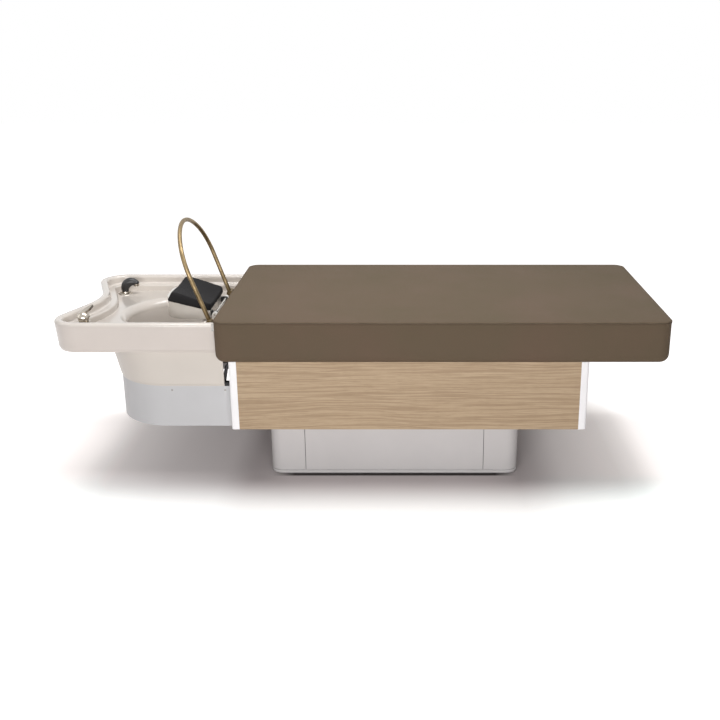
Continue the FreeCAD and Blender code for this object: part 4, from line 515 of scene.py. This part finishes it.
def rubber(name, tint, roughness=0.6):
    """Dull rubber or thread with a fine uneven skin."""
    made, tree, sockets = start_material(name, {"Specular IOR Level": 0.4})
    tone = place_group(tree, "Uneven tone", 0.03)["Mask"]
    connect(tree, sockets["Base Color"], blend_colours(tree, tone, [c * 0.75 for c in tint], tint))
    connect(tree, sockets["Roughness"], spread(tree, tone, 0.0, 1.0, roughness + 0.08, roughness - 0.06))
    bump(tree, sockets, place_group(tree, "Orange peel", 0.0008)["Height"], 0.00008)
    return made


def make_finishes(colours):
    """One material for each of the record's slots, and one for the thread."""
    polish = {"Coat Weight": 0.3, "Coat Roughness": 0.06}
    # The thread's darker colour is partly painted shade of the seam's groove.
    rubber("Seam thread", colours.seam_thread, roughness=0.8)
    return {
        "upholstery": leatherette(
            "Taupe leatherette", colours.leatherette, pebble=0.0016, depth=0.00016, roughness=0.6),
        "headrest_pad": leatherette(
            "Black pad skin", colours.pad_black, pebble=0.0011, depth=0.00008, roughness=0.62),
        "basin_acrylic": coated(
            "White acrylic", colours.acrylic, roughness=0.14, dimple=0.012, depth=0.00003, wear_and_highlight=0.5,
            fixed=polish),
        "shell_plastic": coated(
            "White shell plastic", colours.shell_white, roughness=0.34, dimple=0.0016, depth=0.00005),
        "cover_plastic": coated(
            "Cool grey plastic", colours.cover_grey, roughness=0.4, dimple=0.0016, depth=0.00006),
        "oak": oak("Oak veneer", colours),
        "white_board": coated(
            "White board", colours.board_white, roughness=0.42, dimple=0.003, depth=0.00004, wear_and_highlight=0.4),
        "plywood": plywood("Birch plywood", paint(206, 182, 146)),
        "frame_steel": coated(
            "Black powder coat", paint(40, 40, 42), roughness=0.5, dimple=0.0012, depth=0.00008),
        "plinth_steel": coated(
            "Grey powder coat", colours.plinth_grey, roughness=0.42, dimple=0.0013, depth=0.00007),
        "column_aluminium": metal(
            "Anodised aluminium", paint(200, 202, 204), roughness=0.34, lines=0.0003, depth=0.00002),
        "glide_plastic": coated(
            "Natural nylon", paint(226, 222, 210), roughness=0.45, dimple=0.001, depth=0.00003),
        "actuator_metal": coated(
            "Dark enamel", paint(58, 58, 61), roughness=0.35, dimple=0.0014, depth=0.00005),
        "bright_steel": metal(
            "Bright steel", paint(156, 154, 150), roughness=0.3, lines=0.0003, depth=0.00001),
        # The gold's strong dark patches are painted reflections of its surroundings.
        "ring_brass": metal(
            "Brushed gold", colours.brass, roughness=0.36, lines=0.0003, depth=0.00001, dull_and_reflection=0.5, patch=0.03),
        "chrome": metal("Chrome", colours.chrome, roughness=0.16, lines=0.002),
        "handle_black": coated(
            "Black handle", colours.handle_black, roughness=0.4, dimple=0.0009, depth=0.00004, wear_and_highlight=0.08),
        "hinge_white": coated(
            "White hinge plastic", paint(236, 234, 230), roughness=0.25, dimple=0.0015, depth=0.00003),
        "carrier_satin": coated(
            "Silver satin", colours.carrier_silver, roughness=0.24, dimple=0.0012, depth=0.00002,
            fixed={"Metallic": 0.6}),
        "arm_black": coated(
            "Black enamel", paint(34, 34, 35), roughness=0.3, dimple=0.0014, depth=0.00003, wear_and_highlight=0.1),
        "rubber_black": rubber("Black rubber", paint(28, 28, 29)),
        "hose_grey": rubber("Dark hose", paint(74, 74, 77), roughness=0.42),
        "waste_plastic": coated(
            "White waste plastic", paint(228, 228, 226), roughness=0.35, dimple=0.0015, depth=0.00003),
        "valve_brass": metal(
            "Cast brass", paint(190, 160, 104), roughness=0.4, lines=0.001, depth=0.00004),
        "box_plastic": coated(
            "Black box plastic", paint(36, 36, 37), roughness=0.55, dimple=0.0008, depth=0.00008, wear_and_highlight=0.08),
    }


# The name of each slot's material, filled in when the finishes are made
SLOT_FINISH = {}


def dress_nodes():
    """Give every CAD node the finishes of its own slots."""
    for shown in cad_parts.values():
        slots = shown.data.materials
        for place, old in enumerate(slots):
            slots[place] = bpy.data.materials[SLOT_FINISH[old.name.split(".")[0]]]


def finish_piece(name, mesh, body, slot):
    """Turn a finished mesh into a piece that rides on a body."""
    piece = bpy.data.objects.new(name, mesh)
    bpy.context.scene.collection.objects.link(piece)
    mesh.materials.clear()
    mesh.materials.append(bpy.data.materials[SLOT_FINISH[slot]])
    for face in mesh.polygons:
        face.use_smooth = True
    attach(piece, body)
    return piece


def mesh_from(bm, name):
    """Close the seams of a finished mesh and turn all its faces outwards."""
    bmesh.ops.remove_doubles(bm, verts=bm.verts, dist=SAME_PLACE)
    bmesh.ops.recalc_face_normals(bm, faces=bm.faces)
    mesh = bpy.data.meshes.new(name)
    bm.to_mesh(mesh)
    bm.free()
    return mesh


def bevel_edges(bm, chosen, offset, segments):
    bmesh.ops.bevel(
        bm, geom=[e for e in bm.edges if chosen(e)], offset=offset, offset_type="OFFSET", affect="EDGES",
        segments=segments, profile=0.5, material=-1)


def rounded_block(low, high, corner, segments):
    """A box whose upright edges are rounded."""
    size = high - low
    bm = bmesh.new()
    place = Matrix.Translation((low + high) / 2) @ Matrix.Diagonal((*size, 1))
    bmesh.ops.create_cube(bm, size=1, matrix=place)
    bevel_edges(bm, lambda e: abs(e.verts[0].co.z - e.verts[1].co.z) > size.z / 2, corner, segments)
    return bm


def slice_evenly(bm, low, high, pitch, axis):
    """Cut the mesh by level planes across one axis."""
    count = round((high - low) / pitch)
    normal = Vector([float(axis == i) for i in range(3)])
    for step in range(1, count):
        bmesh.ops.bisect_plane(
            bm, geom=bm.verts[:] + bm.edges[:] + bm.faces[:], dist=SAME_PLACE,
            plane_co=normal * (low + (high - low) * step / count), plane_no=normal)


def inflate(piece, held, pressure, frames, cap):
    """Blow a closed cover up in a cloth simulation, hold its seams and scale the swell to cap."""
    before = [v.co.copy() for v in piece.data.vertices]
    group = piece.vertex_groups.new(name="seams")
    group.add([v.index for v in piece.data.vertices if held(v.co)], 1.0, "REPLACE")
    cloth = piece.modifiers.new("Cloth", "CLOTH")
    cloth.settings.use_pressure = True
    cloth.settings.uniform_pressure_force = pressure
    cloth.settings.effector_weights.gravity = 0
    cloth.settings.vertex_group_mass = "seams"
    cloth.point_cache.frame_start = 1
    cloth.point_cache.frame_end = frames
    scene = bpy.context.scene
    for step in range(1, frames + 1):
        scene.frame_set(step)
    shaped = piece.evaluated_get(bpy.context.evaluated_depsgraph_get()).to_mesh()
    moves = [after.co - start for after, start in zip(shaped.vertices, before)]
    piece.modifiers.remove(cloth)
    piece.vertex_groups.remove(group)
    most = max(move.length for move in moves)
    for vertex, move in zip(piece.data.vertices, moves):
        vertex.co += move * min(1.0, cap / most)
    scene.frame_set(1)


def subdivide(piece, levels):
    smooth = piece.modifiers.new("Subdivision", "SUBSURF")
    smooth.levels = levels
    smooth.render_levels = levels


class WASHBED_OT_finishes(Operator):
    """Make the materials and dress every CAD node"""

    bl_idname = "washbed.finishes"
    bl_label = "Finishes"

    def execute(self, context):
        for slot, material in make_finishes(context.scene.washbed_colours).items():
            SLOT_FINISH[slot] = material.name
        dress_nodes()
        return {"FINISHED"}


class WASHBED_OT_stage(Operator):
    """Set the camera, the floor and the lamps"""

    bl_idname = "washbed.stage"
    bl_label = "Stage"

    def execute(self, context):
        values = context.scene.washbed_stage
        self.set_camera(context, values)
        self.lay_floor(values)
        for name, power, size, place in SOFTBOXES:
            self.hang_lamp(name, getattr(values, power), size, place)
        self.light_room(context, values)
        return {"FINISHED"}

    def set_camera(self, context, values):
        data = bpy.data.cameras.new("Camera")
        data.sensor_width = 36
        data.lens = values.lens
        data.shift_x = values.shift
        camera = bpy.data.objects.new("Camera", data)
        camera.location = (values.stand_x, -values.stand_y, values.stand_z)
        camera.rotation_euler = (math.pi / 2 - values.dip, 0, 0)
        context.scene.collection.objects.link(camera)
        context.scene.camera = camera
        context.scene.view_settings.view_transform = "Standard"

    def lay_floor(self, values):
        bm = bmesh.new()
        bmesh.ops.create_grid(bm, x_segments=2, y_segments=2, size=FLOOR_REACH)
        mesh = bpy.data.meshes.new("floor")
        bm.to_mesh(mesh)
        bm.free()
        floor = bpy.data.objects.new("floor", mesh)
        bpy.context.scene.collection.objects.link(floor)
        mesh.materials.append(self.paint_floor(values))

    def paint_floor(self, values):
        """Plain paint with a painted shadow in the gap under the plinth, and a painted glow, seen only
        directly, that is weak in the bed's shadow and shapes its soft edge.
        """
        made, tree, sockets = start_material("Studio floor", {"Roughness": 0.9, "Specular IOR Level": 0.1})
        tone = place_group(tree, "Uneven tone", 1.5)["Mask"]
        plain = blend_colours(tree, tone, values.floor_colour, [c * 0.99 for c in values.floor_colour])
        place = node(tree, "SeparateXYZ", Vector=node(tree, "TexCoord").outputs["Object"]).outputs
        gap_low, gap_high = PLINTH_LOW.y - GAP_SHADOW_SPREAD, PLINTH_HIGH.y + GAP_SHADOW_SPREAD
        # Painted shadow: the floor turns dark in the gap under the plinth.
        under = calculate(
            tree, "MULTIPLY", inside(tree, place["X"], PLINTH_LOW.x, PLINTH_HIGH.x, GAP_SHADOW_FADE),
            inside(tree, place["Y"], gap_low, gap_high, GAP_SHADOW_SPREAD / 2))
        connect(tree, sockets["Base Color"], blend_colours(tree, under, plain, values.gap_shadow_colour))
        # Painted light: the floor's glow is weak near the bed and full far off, shaping the edge of its
        # shadow.
        glow_along = ramp(tree, place["X"], GLOW_ALONG)
        white = calculate(tree, "ADD", glow_along, ramp(tree, place["Y"], GLOW_ACROSS))
        front = spread(tree, place["Y"], PLINTH_LOW.y, PLINTH_LOW.y * FRONT_SHARE, 0.0, 1.0)
        tint = blend_colours(tree, front, values.side_tint, values.front_tint)
        far = spread(tree, white, TINTED_GLOW, 1.0, 0.0, 1.0)
        connect(tree, sockets["Emission Color"], blend_colours(tree, far, tint, (1, 1, 1)))
        white = calculate(tree, "MINIMUM", white, 1.0)
        connect(tree, sockets["Emission Strength"], calculate(tree, "MULTIPLY", seen_directly(tree), white))
        return made

    def hang_lamp(self, name, power, size, place):
        """Hang a softbox that faces the middle of the bed."""
        data = bpy.data.lights.new(name, "AREA")
        data.shape = "RECTANGLE"
        data.size, data.size_y = size
        data.energy = power
        lamp = bpy.data.objects.new(name, data)
        lamp.location = place
        lamp.rotation_euler = (CAD_MIDDLE - Vector(place)).to_track_quat("-Z", "Y").to_euler()
        bpy.context.scene.collection.objects.link(lamp)

    def light_room(self, context, values):
        room = bpy.data.worlds.new("Studio")
        context.scene.world = room
        room.use_nodes = True
        tree = room.node_tree
        backdrop = tree.nodes["Background"]
        backdrop.inputs["Color"].default_value = (1, 1, 1, 1)
        strength = spread(tree, seen_directly(tree), 0.0, 1.0, values.fill, 1.0)
        connect(tree, backdrop.inputs["Strength"], strength)


def seen_directly(tree):
    """1 where the camera, a mirror or glass sees the surface, and 0 where it only lights others."""
    path = node(tree, "LightPath").outputs
    mirrored = calculate(tree, "MAXIMUM", path["Is Glossy Ray"], path["Is Transmission Ray"])
    return calculate(tree, "MAXIMUM", path["Is Camera Ray"], mirrored)


class WASHBED_OT_mattress(Operator):
    """Build the mattress cover: top panel, border and the welt in its top seam"""

    bl_idname = "washbed.mattress"
    bl_label = "Mattress"

    def execute(self, context):
        sizes = context.scene.washbed_upholstery
        low = MATTRESS_LOW - Vector((sizes.head_swell, sizes.side_swell, 0))
        high = MATTRESS_HIGH + Vector((sizes.foot_swell, sizes.side_swell, -sizes.crown))
        cover = self.cover(sizes, low, high)
        seam_top = high.z - sizes.top_edge
        margin = sizes.top_edge * 2

        def held(point):
            in_plan = (
                low.x + margin < point.x < high.x - margin and low.y + margin < point.y < high.y - margin)
            return not (in_plan and point.z > seam_top)

        inflate(cover, held, COVER_PRESSURE, COVER_FRAMES, sizes.crown)
        subdivide(cover, 2)
        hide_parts("mattress")
        self.welt(sizes, low, high)
        return {"FINISHED"}

    def cover(self, sizes, low, high):
        """One closed cover, rounded at its edges, that hangs down a little past the couch."""
        bm = rounded_block(low, high, sizes.plan_corner, CORNER_STEPS)

        def level(z):
            return lambda e: all(abs(v.co.z - z) < SAME_PLACE for v in e.verts)

        bevel_edges(bm, level(high.z), sizes.top_edge, TOP_EDGE_STEPS)
        bevel_edges(bm, level(low.z), sizes.foot_edge, FOOT_EDGE_STEPS)
        slice_evenly(bm, low.x, high.x, sizes.panel_pitch, 0)
        slice_evenly(bm, low.y, high.y, sizes.panel_pitch, 1)
        slice_evenly(bm, low.z, high.z, sizes.panel_pitch, 2)
        for vertex in bm.verts:
            past = abs(vertex.co.y) - COUCH_HALF
            if past > 0 and vertex.co.z < low.z + sizes.foot_edge:
                vertex.co.z -= sizes.sag * min(1.0, past / sizes.foot_edge)
        return finish_piece("mattress_cover", mesh_from(bm, "mattress_cover"), "bed", "upholstery")

    def welt(self, sizes, low, high):
        """The piping and the stitched seam above it run round the border on closed tubes; the seam's darker
        thread is partly painted shade of the groove above the piping.
        """
        seam_z = high.z - sizes.top_edge * SEAM_DROP_SHARE
        welt_z = seam_z - sizes.seam_radius - sizes.welt_radius
        rounds = (
            ("mattress_welt", welt_z, sizes.welt_radius, WELT_INSET_SHARE),
            ("mattress_stitching", seam_z, sizes.seam_radius, SEAM_INSET_SHARE))
        for name, z, radius, inset_share in rounds:
            tube = tube_round(low, high, z, radius, radius * inset_share, sizes.plan_corner)
            finish_piece(name, mesh_from(tube, name), "bed", "upholstery")
        stitching_and_shade = bpy.data.objects["mattress_stitching"].data
        stitching_and_shade.materials[0] = bpy.data.materials["Seam thread"]


def tube_round(low, high, z, radius, inset, corner):
    """A closed level tube round a rectangle with round corners, drawn by runs and quarter turns."""
    bm = bmesh.new()
    half = (high - low) / 2 - Vector((inset, inset, 0))
    middle = (low + high) / 2
    turn = corner - inset
    start = Matrix.Translation((middle.x, middle.y - half.y, z)) @ Matrix.Rotation(math.pi / 2, 4, "Y")
    bmesh.ops.create_circle(bm, segments=TUBE_SIDES, radius=radius, matrix=start)
    ring = bm.edges[:]
    runs = (half.x - turn, 2 * (half.y - turn), 2 * (half.x - turn), 2 * (half.y - turn))
    signs = ((1, -1), (1, 1), (-1, 1), (-1, -1))
    heading = Vector((1, 0, 0))
    quarter = Matrix.Rotation(math.pi / 2, 3, "Z")
    for run, (side_x, side_y) in zip(runs, signs):
        ring = move_on(bm, ring, heading * run)
        centre = Vector((middle.x + side_x * (half.x - turn), middle.y + side_y * (half.y - turn), z))
        made = bmesh.ops.spin(
            bm, geom=ring, cent=centre, axis=(0, 0, 1), angle=math.pi / 2, steps=TUBE_TURN_STEPS,
            use_duplicate=False)
        ring = [part for part in made["geom_last"] if isinstance(part, bmesh.types.BMEdge)]
        heading = quarter @ heading
    move_on(bm, ring, heading * (half.x - turn))
    return bm


def move_on(bm, ring, step):
    """Extrude a ring of edges along a straight run and return its new end."""
    made = bmesh.ops.extrude_edge_only(bm, edges=ring)["geom"]
    ends = [part for part in made if isinstance(part, bmesh.types.BMVert)]
    bmesh.ops.translate(bm, vec=step, verts=ends)
    return [part for part in made if isinstance(part, bmesh.types.BMEdge) and set(part.verts) <= set(ends)]


class WASHBED_OT_headrest(Operator):
    """Build the soft skin of the headrest pad from its CAD form"""

    bl_idname = "washbed.headrest"
    bl_label = "Headrest pad"

    def execute(self, context):
        sizes = context.scene.washbed_upholstery
        bm = bmesh.new()
        bm.from_mesh(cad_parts["headrest_pad"].data)
        piece = finish_piece("headrest_skin", mesh_from(bm, "headrest_skin"), "headrest", "headrest_pad")
        remesh = piece.modifiers.new("Remesh", "REMESH")
        remesh.mode = "VOXEL"
        remesh.voxel_size = sizes.pad_voxel
        remesh.use_smooth_shade = True
        piece.data = bpy.data.meshes.new_from_object(
            piece.evaluated_get(bpy.context.evaluated_depsgraph_get()))
        piece.modifiers.clear()
        self.draw_in(piece.data, sizes.pad_swell * DRAW_IN_SHARE)
        foot = PAD_LOW.z + sizes.pad_voxel
        inflate(piece, lambda point: point.z < foot, SKIN_PRESSURE, SKIN_FRAMES, sizes.pad_swell)
        subdivide(piece, 1)
        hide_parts("headrest_pad")
        return {"FINISHED"}

    def draw_in(self, mesh, depth):
        """Start a little smaller and rounder, because the skin swells."""
        bm = bmesh.new()
        bm.from_mesh(mesh)
        for _ in range(SMOOTH_ROUNDS):
            bmesh.ops.smooth_vert(
                bm, verts=bm.verts, factor=0.5, use_axis_x=True, use_axis_y=True, use_axis_z=True)
        bm.normal_update()
        for vertex in bm.verts:
            vertex.co -= vertex.normal * depth
        bm.to_mesh(mesh)
        bm.free()


class WASHBED_OT_plinth_step(Operator):
    """Build the strip that shows as a light step under the plinth's covers"""

    bl_idname = "washbed.plinth_step"
    bl_label = "Plinth step"

    def execute(self, context):
        sizes = context.scene.washbed_trim
        out = Vector((1, 1, 0)) * (sizes.step_gap + sizes.step_wall)
        low, high = PLINTH_LOW - out, PLINTH_HIGH + out
        low.z = sizes.step_foot
        high.z = low.z + sizes.step_height
        bm = rounded_block(low, high, sizes.step_corner, STEP_CORNER_STEPS)
        level = [face for face in bm.faces if abs(face.normal.z) > LEVEL_RISE]
        bmesh.ops.delete(bm, geom=level, context="FACES_ONLY")
        bmesh.ops.recalc_face_normals(bm, faces=bm.faces)
        bmesh.ops.solidify(bm, geom=bm.faces[:], thickness=sizes.step_wall)
        finish_piece("plinth_step", mesh_from(bm, "plinth_step"), "base", "plinth_steel")
        return {"FINISHED"}


class WASHBED_PT_panel(Panel):
    """Lists the sizes, the colours and the steps of the bed"""

    bl_idname = "WASHBED_PT_panel"
    bl_label = "Hair washing bed"
    bl_space_type = "VIEW_3D"
    bl_region_type = "UI"
    bl_category = "Wash Bed"

    def draw(self, context):
        scene = context.scene
        groups = (
            scene.washbed_upholstery, scene.washbed_trim, scene.washbed_colours, scene.washbed_stage)
        for group in groups:
            column = self.layout.box().column()
            for name in group.__annotations__:
                column.prop(group, name)
        for step in STEPS:
            self.layout.operator(step.bl_idname)


STEPS = (
    WASHBED_OT_stage,
    WASHBED_OT_finishes,
    WASHBED_OT_mattress,
    WASHBED_OT_headrest,
    WASHBED_OT_plinth_step,
)
CLASSES = (WashBedUpholstery, WashBedTrim, WashBedColours, WashBedStage, *STEPS, WASHBED_PT_panel)


def register():
    for kind in CLASSES:
        bpy.utils.register_class(kind)
    bpy.types.Scene.washbed_upholstery = PointerProperty(type=WashBedUpholstery)
    bpy.types.Scene.washbed_trim = PointerProperty(type=WashBedTrim)
    bpy.types.Scene.washbed_colours = PointerProperty(type=WashBedColours)
    bpy.types.Scene.washbed_stage = PointerProperty(type=WashBedStage)


def unregister():
    del bpy.types.Scene.washbed_stage
    del bpy.types.Scene.washbed_colours
    del bpy.types.Scene.washbed_trim
    del bpy.types.Scene.washbed_upholstery
    for kind in reversed(CLASSES):
        bpy.utils.unregister_class(kind)


def main():
    register()
    bpy.ops.washbed.stage()
    bpy.ops.washbed.finishes()
    bpy.ops.washbed.mattress()
    bpy.ops.washbed.headrest()
    bpy.ops.washbed.plinth_step()


if __name__ == "__main__":
    main()
